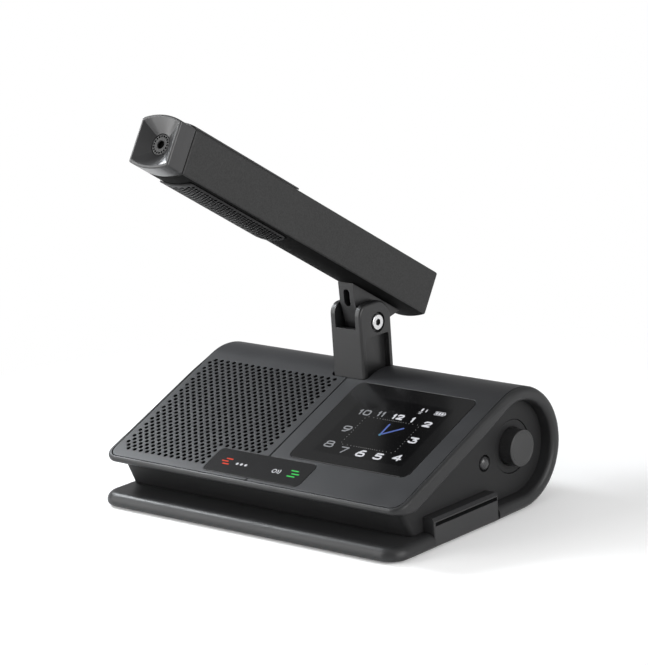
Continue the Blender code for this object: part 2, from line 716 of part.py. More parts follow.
def build_core():
    """Front wall and both side walls, one U-shaped piece inside the C."""
    right = HOUSING_WIDTH / 2 - SIDE_RECESS_RIGHT
    left = HOUSING_WIDTH / 2 - SIDE_RECESS_LEFT
    core = outline_solid("core_frame", shifted(cavity_outline(GAP)), -left, right, SIDEWAYS)

    def front_corner(edge):
        middle = (edge.verts[0].co + edge.verts[1].co) / 2
        lean = math.acos(abs((edge.verts[0].co - edge.verts[1].co).normalized().z))
        return middle.y < back(WALL_FOOT_DEPTH) and abs(lean - WALL_LEAN) < FLAT_ANGLE

    round_edges(core, front_corner, CORE_CORNER_RADIUS, CORNER_STEPS)
    foot = WALL_FOOT_DEPTH + CORE_WALL / math.cos(WALL_LEAN)
    run = math.tan(WALL_LEAN)
    low, high = 0, HOUSING_HEIGHT
    hollow_points = [(foot + BASE_TOP * run, low), (foot - (high - BASE_TOP) * run, high),
                     (HOUSING_DEPTH * 2, high), (HOUSING_DEPTH * 2, low)]
    hollow = outline_solid("core_hollow", shifted(hollow_points), CORE_WALL - left, right - CORE_WALL,
                           SIDEWAYS)
    cut(core, hollow)
    for side in (-1, 1):
        for depth in BASE_SCREW_DEPTHS:
            place = (side * BASE_SCREW_X, back(depth), 0)
            reach = right if side > 0 else left
            low, high = BASE_TOP + GAP, BASE_TOP + GAP + BOSS_HEIGHT
            across = sorted((side * (BASE_SCREW_X - BOSS_RADIUS), side * (reach - CORE_WALL / 2)))
            boss = box("boss", across, (place[1] - BOSS_RADIUS, place[1] + BOSS_RADIUS), (low, high))
            join(core, boss)
            cut(core, rod("boss_hole", place, (0, 0, 1), SCREW_HOLE_RADIUS, 0, high - BOSS_ROOF, SMALL_STEPS))
    return core, left, right


def build_reader(lower, core, right):
    face = HOUSING_WIDTH / 2 - READER_FACE_INSET
    inner = face - READER_BLOCK_WIDTH
    y = (back(READER_DEPTH[0]), back(READER_DEPTH[1]))
    reader = box("card_reader", (inner, face), y, (READER_UNDERSIDE, READER_TOP))

    def top_edge(edge):
        middle = (edge.verts[0].co + edge.verts[1].co) / 2
        return middle.x > face - NEAR and middle.z > READER_TOP - NEAR

    def outer_edge(edge):
        middle = (edge.verts[0].co + edge.verts[1].co) / 2
        return middle.x > face - NEAR and middle.z < READER_TOP - READER_TOP_CHAMFER - NEAR

    round_edges(reader, top_edge, READER_TOP_CHAMFER, 1)
    round_edges(reader, outer_edge, READER_CHAMFER, EDGE_STEPS)
    narrow = (y[0] + GAP, y[1] - GAP)
    tray_z = (BASE_TOP + GAP, READER_TRAY_TOP)
    tray = box("reader_tray", (face - READER_LENGTH, inner + OVERRUN), narrow, tray_z)
    join(reader, tray)
    slot_y = (back(SLOT_FRONT), back(SLOT_FRONT) + SLOT_LENGTH)
    slot = box("card_slot", (face - READER_LENGTH + SLOT_END_WALL, face + OVERRUN), slot_y, SLOT_HEIGHTS)
    cut(reader, slot)
    around = grown(y, GAP)
    cut(lower, box("reader_notch", (inner - GAP, face * 2), around, (0, READER_TOP)))
    cut(core, box("reader_opening", (face - READER_LENGTH - GAP, face), around, (0, READER_TOP + GAP)))
    return reader


def build_side_controls(core, right):
    middle = (0, back(KNOB_DEPTH), KNOB_HEIGHT)
    across = (1, 0, 0)
    floor = right - BEZEL_POCKET
    cut(core, rod("bezel_pocket", middle, across, BEZEL_RADIUS + GAP, floor, right + OVERRUN))
    cut(core, rod("shaft_hole", middle, across, SHAFT_HOLE_RADIUS, right - CORE_WALL * 2, right, SMALL_STEPS))
    ring_low = floor + GAP
    ring_high = ring_low + BEZEL_THICKNESS
    ring_inner = KNOB_RADIUS + KNOB_RING_GAP
    bezel = turned("knob_bezel", [(ring_inner, ring_low), (BEZEL_RADIUS, ring_low),
                                  (BEZEL_RADIUS, ring_high), (ring_inner, ring_high)], middle, across)
    face = right + KNOB_REACH
    knob_back = right - KNOB_SUNK
    knob = turned("volume_knob", [(0, knob_back), (KNOB_RADIUS, knob_back), (KNOB_RADIUS, face - KNOB_EDGE),
                                  (KNOB_RADIUS - KNOB_EDGE, face), (0, face)], middle, across)
    tip = right + SHAFT_TIP
    cut(knob, rod("knob_bore", middle, across, SHAFT_RADIUS + GAP, right - CORE_WALL, tip + GAP, SMALL_STEPS))
    inside = right - CORE_WALL - GAP
    body_x = (inside - ENCODER_SIZE[0], inside)
    wide, tall = ENCODER_SIZE[1] / 2, ENCODER_SIZE[2] / 2
    encoder = box("encoder_body", body_x, (middle[1] - wide, middle[1] + wide),
                  (KNOB_HEIGHT - tall, KNOB_HEIGHT + tall))
    seat = (body_x[0] + body_x[1]) / 2
    cut(encoder, rod("encoder_bore", middle, across, SHAFT_RADIUS + GAP, seat, inside + OVERRUN, SMALL_STEPS))
    shaft = rod("encoder_shaft", middle, across, SHAFT_RADIUS, seat + GAP, tip, SMALL_STEPS)

    place = (0, back(BUTTON_DEPTH), BUTTON_HEIGHT)
    cut(core, rod("button_hole", place, across, BUTTON_HOLE_RADIUS, right - CORE_WALL * 2, right + OVERRUN,
                  DISC_STEPS))
    flange_high = inside
    flange_low = flange_high - BUTTON_FLANGE
    dome = right + BUTTON_REACH
    shoulder = dome - BUTTON_DOME
    profile = [(0, flange_low), (BUTTON_FLANGE_RADIUS, flange_low), (BUTTON_FLANGE_RADIUS, flange_high),
               (BUTTON_RADIUS, flange_high), (BUTTON_RADIUS, shoulder)]
    for step in range(1, CORNER_STEPS):
        turn = QUARTER * step / CORNER_STEPS
        profile.append((BUTTON_RADIUS * math.cos(turn), shoulder + BUTTON_DOME * math.sin(turn)))
    profile.append((0, dome))
    button = turned("side_button", profile, place, across, DISC_STEPS)
    rest = flange_low - BUTTON_TRAVEL - GAP
    high, wide = SWITCH_SIZE[2] / 2, SWITCH_SIZE[1] / 2
    switch_low = body_x[0]
    switch = box("button_switch", (switch_low, rest), (place[1] - wide, place[1] + wide),
                 (BUTTON_HEIGHT - high, BUTTON_HEIGHT + high))
    board_x = (switch_low - GAP - BOARD_THICKNESS, switch_low - GAP)
    y = (back(SIDE_BOARD_DEPTH[0]), back(SIDE_BOARD_DEPTH[1]))
    side_board = box("side_board", board_x, y, (READER_TOP + GAP * 2, SIDE_BOARD_TOP))
    return (bezel, knob, shaft, encoder, button, switch, side_board), middle, place


def build_post():
    half = POST_WIDTH / 2
    pivot_y = back(PIVOT[0])
    ear = back(POST_DEPTH[1]) - pivot_y
    front, rear = back(POST_DEPTH[0]), back(POST_DEPTH[1])
    points = [(rear, POST_FOOT), (rear, PIVOT[1])]
    for step in range(1, FORK_STEPS + 1):
        turn = QUARTER * step / FORK_STEPS
        points.append((pivot_y + ear * math.cos(turn), PIVOT[1] + (POST_TOP - PIVOT[1]) * math.sin(turn)))
    corner = (front + POST_FRONT_CORNER, POST_TOP - POST_FRONT_CORNER)
    for step in range(CORNER_STEPS + 1):
        turn = QUARTER * (1 + step / CORNER_STEPS)
        points.append((corner[0] + POST_FRONT_CORNER * math.cos(turn),
                       corner[1] + POST_FRONT_CORNER * math.sin(turn)))
    points.append((front, POST_FOOT))
    post = outline_solid("clevis_post", points, -half, half, SIDEWAYS)
    round_edges(post, lambda edge: not along(edge, 0) and edge.calc_face_angle(0) > SQUARE_ANGLE, POST_EDGE)
    flange_y = (back(FLANGE_DEPTH[0]), back(FLANGE_DEPTH[1]))
    join(post, box("post_flange", (-FLANGE_X, FLANGE_X), flange_y, (POST_FOOT, POST_FOOT + FLANGE_THICKNESS)))
    gap = FORK_GAP / 2
    fork = [(front - OVERRUN, FORK_FLOOR), (front + FORK_LIP, FORK_FLOOR)]
    for step in range(FORK_STEPS + 1):
        turn = FORK_SWEEP_START + (FORK_SWEEP_END - FORK_SWEEP_START) * step / FORK_STEPS
        fork.append((pivot_y + FORK_SWEEP * math.cos(turn), PIVOT[1] + FORK_SWEEP * math.sin(turn)))
    above = POST_TOP + OVERRUN
    fork += [(rear + OVERRUN, FORK_FLOOR_BACK), (rear + OVERRUN, above), (front - OVERRUN, above)]
    cut(post, outline_solid("fork", fork, -gap, gap, SIDEWAYS))
    pocket_y = (back(POCKET_Y[0]), back(POCKET_Y[1]))
    for side in (-1, 1):
        across = sorted((side * (half - POCKET_DEPTH), side * half * 2))
        pocket = rounded_rectangle(pocket_y, POCKET_HEIGHTS, POST_EDGE)
        cut(post, outline_solid("post_pocket", pocket, across[0], across[1], SIDEWAYS))
    pivot = (0, pivot_y, PIVOT[1])
    across = (1, 0, 0)
    cut(post, rod("pivot_hole", pivot, across, PIVOT_HOLE_RADIUS, -half * 2, half * 2, SMALL_STEPS))
    seat = half - COUNTERBORE_DEPTH
    cut(post, rod("head_counterbore", pivot, across, COUNTERBORE_RADIUS, seat, half * 2))
    cut(post, rod("nut_counterbore", pivot, across, COUNTERBORE_RADIUS, -half * 2, -seat))

    head_low = seat + GAP
    head_high = head_low + PIVOT_HEAD_LENGTH
    screw = turned("pivot_screw", [
        (0, -seat - GAP - NUT_LENGTH), (PIVOT_SHANK_RADIUS, -seat - GAP - NUT_LENGTH),
        (PIVOT_SHANK_RADIUS, head_low), (PIVOT_HEAD_RADIUS, head_low),
        (PIVOT_HEAD_RADIUS, head_high - PIVOT_HEAD_PROUD),
        (PIVOT_HEAD_RADIUS - PIVOT_HEAD_PROUD, head_high), (PIVOT_SOCKET_RADIUS, head_high),
        (PIVOT_SOCKET_RADIUS, head_high - PIVOT_SOCKET_DEPTH), (0, head_high - PIVOT_SOCKET_DEPTH)],
        pivot, across, DISC_STEPS)
    nut_high = -seat - GAP
    bore = PIVOT_SHANK_RADIUS + GAP
    nut = turned("pivot_nut", [(bore, nut_high - NUT_LENGTH), (NUT_RADIUS, nut_high - NUT_LENGTH),
                               (NUT_RADIUS, nut_high), (bore, nut_high)], pivot, across, DISC_STEPS)
    inner = KNUCKLE_WIDTH / 2 + GAP
    outer = gap - GAP
    washers = []
    for name, side in (("friction_washer_left", -1), ("friction_washer_right", 1)):
        low, high = sorted((side * inner, side * outer))
        washers.append(turned(name, [(PIVOT_HOLE_RADIUS, low), (WASHER_RADIUS, low), (WASHER_RADIUS, high),
                                     (PIVOT_HOLE_RADIUS, high)], pivot, across, DISC_STEPS))

    pedestal_y = (back(PEDESTAL_DEPTH[0]), back(PEDESTAL_DEPTH[1]))
    top = POST_FOOT - GAP
    low = BASE_TOP + GAP
    room = INNER_RADIUS - GAP
    pedestal = box("post_pedestal", (-PEDESTAL_X, PEDESTAL_X), pedestal_y, (low, top))
    hollow = box("pedestal_hollow", (-PEDESTAL_X - OVERRUN, PEDESTAL_X + OVERRUN),
                 (pedestal_y[0] + PEDESTAL_WALL, pedestal_y[1] + PEDESTAL_WALL),
                 (low + PEDESTAL_WALL, top - PEDESTAL_WALL))
    cut(pedestal, hollow)
    slope = outline_solid("pedestal_rear_cut", shifted(
        [(REAR_DEPTH, low - OVERRUN)] + arc(room, -QUARTER, 0, REAR_ARC_STEPS)[1:]
        + [(HOUSING_DEPTH, REAR_HEIGHT), (HOUSING_DEPTH, low - OVERRUN)]),
        -PEDESTAL_X * 2, PEDESTAL_X * 2, SIDEWAYS)
    cut(pedestal, slope)
    screws = []
    screw_y = back(sum(PEDESTAL_DEPTH) / 2)
    for name, side in (("post_screw_left", -1), ("post_screw_right", 1)):
        place = (side * (half + SCREW_HEAD_RADIUS + GAP), screw_y, POST_FOOT + FLANGE_THICKNESS)
        hole = rod(name + "_hole", place, (0, 0, -1), SCREW_HOLE_RADIUS, -OVERRUN, SCREW_LENGTH + OVERRUN,
                   SMALL_STEPS)
        cut(post, hole)
        cut(pedestal, hole)
        screws.append(make_screw(name, place, (0, 0, -1), SCREW_LENGTH))
    return post, screw, nut, washers, pedestal, screws, pivot


def make_screw(name, place, direction, length, group=None):
    """A pan-head screw whose head sits against place, pointing along direction."""
    low = -GAP - SCREW_HEAD
    half_head = low + SCREW_HEAD / 2
    profile = [(0, half_head), (SCREW_SOCKET_RADIUS, half_head), (SCREW_SOCKET_RADIUS, low),
               (SCREW_HEAD_RADIUS - SCREW_HEAD / 3, low), (SCREW_HEAD_RADIUS, half_head),
               (SCREW_HEAD_RADIUS, -GAP), (SCREW_RADIUS, -GAP), (SCREW_RADIUS, length), (0, length)]
    return turned(name, profile, place, direction, SMALL_STEPS, group)


def tangent_from(place, radius, side):
    """Where the line from place touches a circle about the pivot; side picks which one."""
    span = math.hypot(*place)
    turn = math.atan2(place[1], place[0]) + side * math.acos(radius / span)
    return turn


def arm_outline(points):
    """Arm places (forward, above) as drawing points (backwards, above)."""
    return [(-forward, above) for forward, above in points]


def build_knuckle(arm):
    half = KNUCKLE_WIDTH / 2
    first = tangent_from(KNUCKLE_FRONT_LOW, HUB_RADIUS, -1)
    last = tangent_from(KNUCKLE_REAR_LOW, HUB_RADIUS, 1) - 2 * PI
    points = [KNUCKLE_FRONT_TOP, KNUCKLE_FRONT_LOW]
    for step in range(HUB_STEPS + 1):
        turn = first + (last - first) * step / HUB_STEPS
        points.append((HUB_RADIUS * math.cos(turn), HUB_RADIUS * math.sin(turn)))
    points += [KNUCKLE_REAR_LOW, KNUCKLE_REAR_TIP]
    knuckle = outline_solid("knuckle", arm_outline(points), -half, half, SIDEWAYS)

    def front_edge(edge):
        middle = (edge.verts[0].co + edge.verts[1].co) / 2
        upright = not along(edge, 0) and edge.calc_face_angle(0) > SQUARE_ANGLE
        return upright and middle.y < 0 and middle.z < KNUCKLE_FRONT_TOP[1] - NEAR

    round_edges(knuckle, front_edge, KNUCKLE_EDGE)
    across = (1, 0, 0)
    cut(knuckle, rod("knuckle_bore", (0, 0, 0), across, PIVOT_HOLE_RADIUS, -half * 2, half * 2, SMALL_STEPS))
    upright = Matrix.Rotation(ARM_TILT, 4, "X") @ Matrix.Translation((0, -back(PIVOT[0]), -PIVOT[1]))
    wide = CABLE_SLOT_WIDTH / 2
    outline = rounded_rectangle((-wide, wide), CABLE_SLOT_HEIGHTS, wide - MERGE)
    stand = Matrix.Rotation(QUARTER, 4, "X")
    front = back(POST_DEPTH[0])
    slot = outline_solid("cable_slot", outline, -front - KNUCKLE_WIDTH, -front + OVERRUN, upright @ stand)
    cut(knuckle, slot)
    window_y = (front + CABLE_WINDOW[1], front + CABLE_WINDOW[1] + CABLE_WINDOW[2])
    window = box("cable_window", (-half * 2, wide), window_y,
                 (CABLE_SLOT_HEIGHTS[0], CABLE_SLOT_HEIGHTS[1] - CABLE_WINDOW[0]))
    window.data.transform(upright)
    cut(knuckle, window)
    for forward in KNUCKLE_SCREWS:
        place = (0, -forward, KNUCKLE_FRONT_TOP[1])
        depth = KNUCKLE_FRONT_TOP[1] + GAP - (BEAM_UNDER + BEAM_WALL / 2 - SCREW_LENGTH)
        cut(knuckle, rod("knuckle_thread", place, (0, 0, -1), SCREW_HOLE_RADIUS, -OVERRUN, depth, SMALL_STEPS))
    return hang_on(knuckle, arm)


def beam_section():
    """Arm cross-section as (across, above): flat sides, crowned top and bottom."""
    half = BEAM_WIDTH / 2
    radius = (half ** 2 + BEAM_CROWN ** 2) / (2 * BEAM_CROWN)
    spread = math.asin(half / radius)
    low, high = BEAM_UNDER, BEAM_UNDER + BEAM_FLAT_HEIGHT
    points = []
    for step in range(CROWN_STEPS + 1):
        turn = spread * (1 - 2 * step / CROWN_STEPS)
        points.append((radius * math.sin(turn), high + BEAM_CROWN - radius + radius * math.cos(turn)))
    for step in range(CROWN_STEPS + 1):
        turn = spread * (2 * step / CROWN_STEPS - 1)
        points.append((radius * math.sin(turn), low - BEAM_CROWN + radius - radius * math.cos(turn)))
    return points


def lengthwise():
    """Turns a drawing of (across, above) so that its Z points to the arm's front."""
    return Matrix.Rotation(QUARTER, 4, "X")


def strip_outline(side, room=0):
    """Section of a perforated strip that lies in the crowned top (1) or bottom (-1), with room left round it."""
    half = BEAM_WIDTH / 2
    radius = (half ** 2 + BEAM_CROWN ** 2) / (2 * BEAM_CROWN)
    spread = math.asin((STRIP_WIDTH / 2 + room) / radius)
    middle = BEAM_UNDER + BEAM_FLAT_HEIGHT / 2
    centre = BEAM_FLAT_HEIGHT / 2 + BEAM_CROWN - radius
    outer, inner = radius + STRIP_PROUD + room, radius + STRIP_PROUD - STRIP_THICKNESS - room
    turns = [spread * (1 - 2 * step / CROWN_STEPS) for step in range(CROWN_STEPS + 1)]
    above = [(outer * math.sin(turn), middle + side * (centre + outer * math.cos(turn))) for turn in turns]
    below = [(inner * math.sin(turn), middle + side * (centre + inner * math.cos(turn))) for turn in turns]
    return above + below[::-1]


def build_arm(arm):
    seam = BEAM_FRONT - CAP_LENGTH
    beam = outline_solid("arm_housing", beam_section(), BEAM_REAR, seam - GAP / 2, lengthwise())
    room_x = BEAM_WIDTH / 2 - BEAM_WALL
    floor = BEAM_UNDER + BEAM_WALL / 2
    roof = BEAM_UNDER + BEAM_FLAT_HEIGHT - BEAM_WALL / 2
    room = box("arm_room", (-room_x, room_x), (-seam - OVERRUN, -BEAM_REAR + OVERRUN), (floor, roof))
    cut(beam, room)
    strips = []
    for name, side, span in (("mesh_top", 1, STRIP_TOP), ("mesh_bottom", -1, STRIP_BOTTOM)):
        strip = outline_solid(name, strip_outline(side), span[0], span[1], lengthwise())
        recess = outline_solid(name + "_recess", strip_outline(side, GAP), span[0] - GAP, span[1] + GAP,
                               lengthwise())
        cut(beam, recess)
        strips.append(hang_on(strip, arm))
    plug_x = room_x - GAP
    plug = box("rear_plug", (-plug_x, plug_x), (-BEAM_REAR - PLUG_THICKNESS, -BEAM_REAR),
               (floor + GAP, roof - GAP))

    cap = outline_solid("front_cap", beam_section(), seam + GAP / 2, BEAM_FRONT, lengthwise())
    middle_height = BEAM_UNDER + BEAM_FLAT_HEIGHT / 2
    throat = BEAM_FRONT - FUNNEL_DEPTH
    cut(cap, build_funnel(middle_height, throat))
    nose = (0, 0, middle_height)
    ahead = (0, -1, 0)
    cut(cap, rod("disc_seat", nose, ahead, DISC_RADIUS + GAP, throat - DISC_THICKNESS - GAP, BEAM_FRONT))
    capsule_front = throat - DISC_THICKNESS - GAP * 2
    cut(cap, rod("capsule_seat", nose, ahead, CAPSULE_RADIUS + GAP, seam - OVERRUN, BEAM_FRONT))
    disc_low = throat - DISC_THICKNESS
    disc = turned("capsule_disc", [(DISC_HOLE_RADIUS, disc_low), (DISC_RADIUS, disc_low), (DISC_RADIUS, throat),
                                   (DISC_HOLE_RADIUS, throat)], nose, ahead)
    capsule = rod("nose_capsule", nose, ahead, CAPSULE_RADIUS, capsule_front - CAPSULE_LENGTH - GAP,
                  capsule_front, DISC_STEPS)

    board = box("mic_board", (-MIC_BOARD_X, MIC_BOARD_X), (-MIC_BOARD_SPAN[1], -MIC_BOARD_SPAN[0]),
                (floor + GAP, floor + GAP + BOARD_THICKNESS))
    capsules = []
    for count, share in enumerate(MIC_CAPSULE_SHARES):
        forward = MIC_BOARD_SPAN[0] + (MIC_BOARD_SPAN[1] - MIC_BOARD_SPAN[0]) * share
        low = floor + GAP * 2 + BOARD_THICKNESS
        capsules.append(rod("mic_capsule_%d" % (count + 1), (0, -forward, 0), (0, 0, 1), MIC_CAPSULE_RADIUS,
                            low, low + MIC_CAPSULE_HEIGHT, MIC_STEPS))
    screws = []
    for count, forward in enumerate(KNUCKLE_SCREWS):
        place = (0, -forward, floor)
        cut(beam, rod("knuckle_screw_hole", place, (0, 0, -1), SCREW_HOLE_RADIUS, -OVERRUN, SCREW_LENGTH,
                      SMALL_STEPS))
        screws.append(make_screw("knuckle_screw_%d" % (count + 1), place, (0, 0, -1), SCREW_LENGTH))
    for piece in [beam, plug, cap, disc, capsule, board] + capsules + screws:
        hang_on(piece, arm)
    return beam, strips, plug, cap, disc, capsule, board, capsules, screws


def build_funnel(middle_height, throat):
    """The four-sided funnel in the arm's nose, closing on the round disc."""
    half = BEAM_WIDTH / 2 - FUNNEL_RIM
    radius = (half ** 2 + BEAM_CROWN ** 2) / (2 * BEAM_CROWN)
    spread = math.asin(half / radius)
    flat = BEAM_FLAT_HEIGHT / 2 - FUNNEL_RIM
    crown_centre = flat + BEAM_CROWN - radius
    fractions = [step / FUNNEL_STEPS for step in range(FUNNEL_STEPS)]
    rim = []
    for fraction in fractions:
        turn = spread * (1 - 2 * fraction)
        rim.append((radius * math.sin(turn), crown_centre + radius * math.cos(turn)))
    rim += [(-half, flat - 2 * flat * fraction) for fraction in fractions]
    for fraction in fractions:
        turn = spread * (2 * fraction - 1)
        rim.append((radius * math.sin(turn), -crown_centre - radius * math.cos(turn)))
    rim += [(half, 2 * flat * fraction - flat) for fraction in fractions]
    count = len(rim)
    circle = [(DISC_RADIUS * math.cos(QUARTER / 2 + 2 * PI * number / count),
               DISC_RADIUS * math.sin(QUARTER / 2 + 2 * PI * number / count)) for number in range(count)]
    shape = bmesh.new()
    loops = []
    for forward, outline in ((BEAM_FRONT + OVERRUN, rim), (BEAM_FRONT, rim), (throat, circle)):
        loops.append([shape.verts.new((across, -forward, middle_height + above)) for across, above in outline])
    for first, second in zip(loops, loops[1:]):
        for number in range(count):
            after = (number + 1) % count
            shape.faces.new((first[number], first[after], second[after], second[number]))
    shape.faces.new(loops[0])
    shape.faces.new(loops[-1])
    return from_bmesh("funnel", shape)


def build_underside(lower):
    mat_x = (-MAT_SIZE[0] / 2, MAT_SIZE[0] / 2)
    mat_y = (-MAT_SIZE[1] / 2, MAT_SIZE[1] / 2)
    mat = outline_solid("anti_slip_mat", rounded_rectangle(mat_x, mat_y, MAT_CORNER_RADIUS), 0, MAT_THICKNESS)
    around = rounded_rectangle(grown(mat_x, GAP), grown(mat_y, GAP), MAT_CORNER_RADIUS + GAP)
    cut(lower, outline_solid("mat_recess", around, 0, MAT_THICKNESS + GAP))
    around = rounded_rectangle(grown(DOOR_X, GAP * 2), grown(DOOR_Y, GAP * 2), DOOR_LEDGE)
    cut(mat, outline_solid("mat_opening", around, -OVERRUN, MAT_THICKNESS + OVERRUN))
    door_z = (MAT_PROUD + GAP, MAT_PROUD + GAP * 2 + DOOR_THICKNESS)
    door = outline_solid("battery_door", rounded_rectangle(DOOR_X, DOOR_Y, DOOR_LEDGE), door_z[0], door_z[1])
    around = rounded_rectangle(grown(DOOR_X, GAP), grown(DOOR_Y, GAP), DOOR_LEDGE)
    cut(lower, outline_solid("door_pocket", around, 0, door_z[1] + GAP))
    bay_x, bay_y = grown(DOOR_X, -DOOR_LEDGE), grown(DOOR_Y, -DOOR_LEDGE)
    cut(lower, box("battery_bay", bay_x, bay_y, (0, BASE_TOP + OVERRUN)))
    low = door_z[1] + GAP
    battery = box("battery_pack", grown(bay_x, -GAP), grown(bay_y, -GAP), (low, low + BATTERY_HEIGHT))
    round_edges(battery, lambda edge: along(edge, 0), DOOR_LEDGE, EDGE_STEPS)
    screws = []
    seat = MAT_PROUD + SCREW_HEAD + GAP * 2
    for side, label in ((-1, "left"), (1, "right")):
        for depth, place_name in zip(BASE_SCREW_DEPTHS, ("front", "rear")):
            place = (side * BASE_SCREW_X, back(depth), seat)
            name = "base_screw_%s_%s" % (place_name, label)
            cut(lower, rod(name + "_hole", place, (0, 0, 1), SCREW_HOLE_RADIUS, -OVERRUN, BASE_TOP,
                           SMALL_STEPS))
            cut(lower, rod(name + "_counterbore", place, (0, 0, -1), SCREW_HEAD_RADIUS + GAP, 0, seat + OVERRUN,
                           SMALL_STEPS))
            screws.append(make_screw(name, place, (0, 0, 1), SCREW_LENGTH))
    return mat, door, battery, screws


def build_speaker(frame):
    start = (CEILING_DEPTH, lip_corners()[1][1])
    slope = tangent_turn(start, INNER_RADIUS) - QUARTER
    along_slope = SPEAKER_SLOPE - CEILING_DEPTH
    depth = start[0] + along_slope * math.cos(slope)
    place = (SPEAKER_X, back(depth), start[1] + along_slope * math.sin(slope))
    inward = (0, math.sin(slope), -math.cos(slope))
    cut(frame, rod("sound_opening", place, inward, SPEAKER_OPENING, -BAND_THICKNESS * 2, OVERRUN))
    low = GAP
    rim = low + SPEAKER_FLANGE
    bottom = rim + SPEAKER_DEPTH
    wall = SPEAKER_FLANGE
    basket = turned("speaker_basket", [
        (SPEAKER_OPENING, low), (SPEAKER_RADIUS, low), (SPEAKER_RADIUS, rim), (SPEAKER_OPENING + wall, rim),
        (SPEAKER_BACK_RADIUS, bottom), (CONE_NECK, bottom), (CONE_NECK, bottom - wall),
        (SPEAKER_BACK_RADIUS - wall, bottom - wall), (SPEAKER_OPENING, rim)], place, inward)
    cone_low = rim - wall
    cone = turned("speaker_cone", [
        (0, cone_low + CONE_DEPTH), (CONE_NECK, cone_low + CONE_DEPTH), (CONE_RADIUS, cone_low),
        (SPEAKER_OPENING - GAP, cone_low), (SPEAKER_OPENING - GAP, cone_low + CONE_THICKNESS),
        (CONE_RADIUS, cone_low + CONE_THICKNESS), (CONE_NECK, cone_low + CONE_DEPTH + CONE_THICKNESS),
        (0, cone_low + CONE_DEPTH + CONE_THICKNESS)], place, inward)
    magnet = rod("speaker_magnet", place, inward, MAGNET_RADIUS, bottom + GAP, bottom + GAP + MAGNET_LENGTH,
                 DISC_STEPS)
    return basket, cone, magnet


def build_boards():
    y = (back(MAIN_BOARD_DEPTH[0]), back(MAIN_BOARD_DEPTH[1]))
    low = READER_TRAY_TOP + GAP
    board = box("main_board", MAIN_BOARD_X, y, (low, low + BOARD_THICKNESS))
    centre = (sum(MAIN_BOARD_X) / 2, sum(y) / 2)
    top = low + BOARD_THICKNESS + GAP
    chip = box("processor", (centre[0] - CHIP_SIZE[0] / 2, centre[0] + CHIP_SIZE[0] / 2),
               (centre[1] - CHIP_SIZE[1] / 2, centre[1] + CHIP_SIZE[1] / 2), (top, top + CHIP_SIZE[2]))
    return board, chip


BLACK = ((0.035, 0.035, 0.037), 0.55, 0.0)
GREY = ((0.060, 0.060, 0.063), 0.5, 0.0)
GLASS = ((0.010, 0.010, 0.012), 0.08, 0.0)
STEEL = ((0.62, 0.62, 0.63), 0.3, 1.0)
DARK_METAL = ((0.05, 0.05, 0.052), 0.4, 0.6)
BOARD = ((0.02, 0.12, 0.05), 0.5, 0.0)
RUBBER = ((0.02, 0.02, 0.02), 0.85, 0.0)
PAPER = ((0.04, 0.04, 0.04), 0.9, 0.0)


def main():
    global parts, cutters
    clear_scene()
    parts = collection("conference_delegate_unit")
    cutters = collection("cutters")
    lower, cover, frame, speaker_panel, display_panel, glass, lcd, touch, touch_board = build_housing()
    core, left, right = build_core()
    reader = build_reader(lower, core, right)
    controls, knob_place, button_place = build_side_controls(core, right)
    bezel, knob, shaft, encoder, button, switch, side_board = controls
    post, pivot_screw, nut, washers, pedestal, post_screws, pivot = build_post()
    mat, door, battery, base_screws = build_underside(lower)
    basket, cone, magnet = build_speaker(frame)
    board, chip = build_boards()

    arm = bpy.data.objects.new("arm_pivot", None)
    parts.objects.link(arm)
    arm.location = pivot
    arm.rotation_euler = (-ARM_TILT, 0, 0)
    knuckle = build_knuckle(arm)
    beam, strips, plug, cap, disc, capsule, mic_board, capsules, arm_screws = build_arm(arm)

    for piece in (lower, cover, frame, core, speaker_panel, display_panel, reader, bezel, door, beam, cap, knob,
                  button, knuckle, post, plug):
        finish(piece, BLACK)
    for piece in strips + [disc, basket, magnet, pedestal]:
        finish(piece, DARK_METAL)
    for piece in (glass, touch, lcd):
        finish(piece, GLASS)
    for piece in (touch_board, side_board, board, mic_board):
        finish(piece, BOARD)
    for piece in [pivot_screw, nut, shaft, encoder] + post_screws + base_screws + arm_screws:
        finish(piece, STEEL)
    for piece in [switch, chip, battery] + washers:
        finish(piece, GREY)
    for piece in [capsule] + capsules:
        finish(piece, STEEL)
    finish(mat, RUBBER)
    finish(cone, PAPER)
    for piece in (knob, shaft):
        move_origin(piece, knob_place)
    move_origin(button, button_place)


main()
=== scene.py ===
"""Conference delegate unit: finished surfaces, display, perforations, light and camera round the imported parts."""

import json
import math

import bmesh
import bpy
from mathutils import Euler, Matrix, Vector

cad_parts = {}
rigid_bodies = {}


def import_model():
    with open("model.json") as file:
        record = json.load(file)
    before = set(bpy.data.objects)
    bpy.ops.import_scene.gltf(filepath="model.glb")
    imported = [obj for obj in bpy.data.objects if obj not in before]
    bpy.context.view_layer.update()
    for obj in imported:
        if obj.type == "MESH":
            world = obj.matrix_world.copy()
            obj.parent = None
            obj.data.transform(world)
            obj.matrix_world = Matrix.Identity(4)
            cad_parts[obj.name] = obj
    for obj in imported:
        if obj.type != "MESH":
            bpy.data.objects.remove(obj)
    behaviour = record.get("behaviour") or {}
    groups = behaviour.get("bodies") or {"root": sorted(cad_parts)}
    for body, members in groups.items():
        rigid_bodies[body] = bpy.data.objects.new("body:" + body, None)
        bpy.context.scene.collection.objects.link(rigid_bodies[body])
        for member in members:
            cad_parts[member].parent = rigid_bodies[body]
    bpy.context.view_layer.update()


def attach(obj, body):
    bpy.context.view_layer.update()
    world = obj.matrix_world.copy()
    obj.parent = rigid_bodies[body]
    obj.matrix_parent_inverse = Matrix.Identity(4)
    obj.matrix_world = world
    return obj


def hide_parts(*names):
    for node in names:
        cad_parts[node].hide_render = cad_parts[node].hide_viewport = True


for thing in list(bpy.data.objects):
    bpy.data.objects.remove(thing, do_unlink=True)

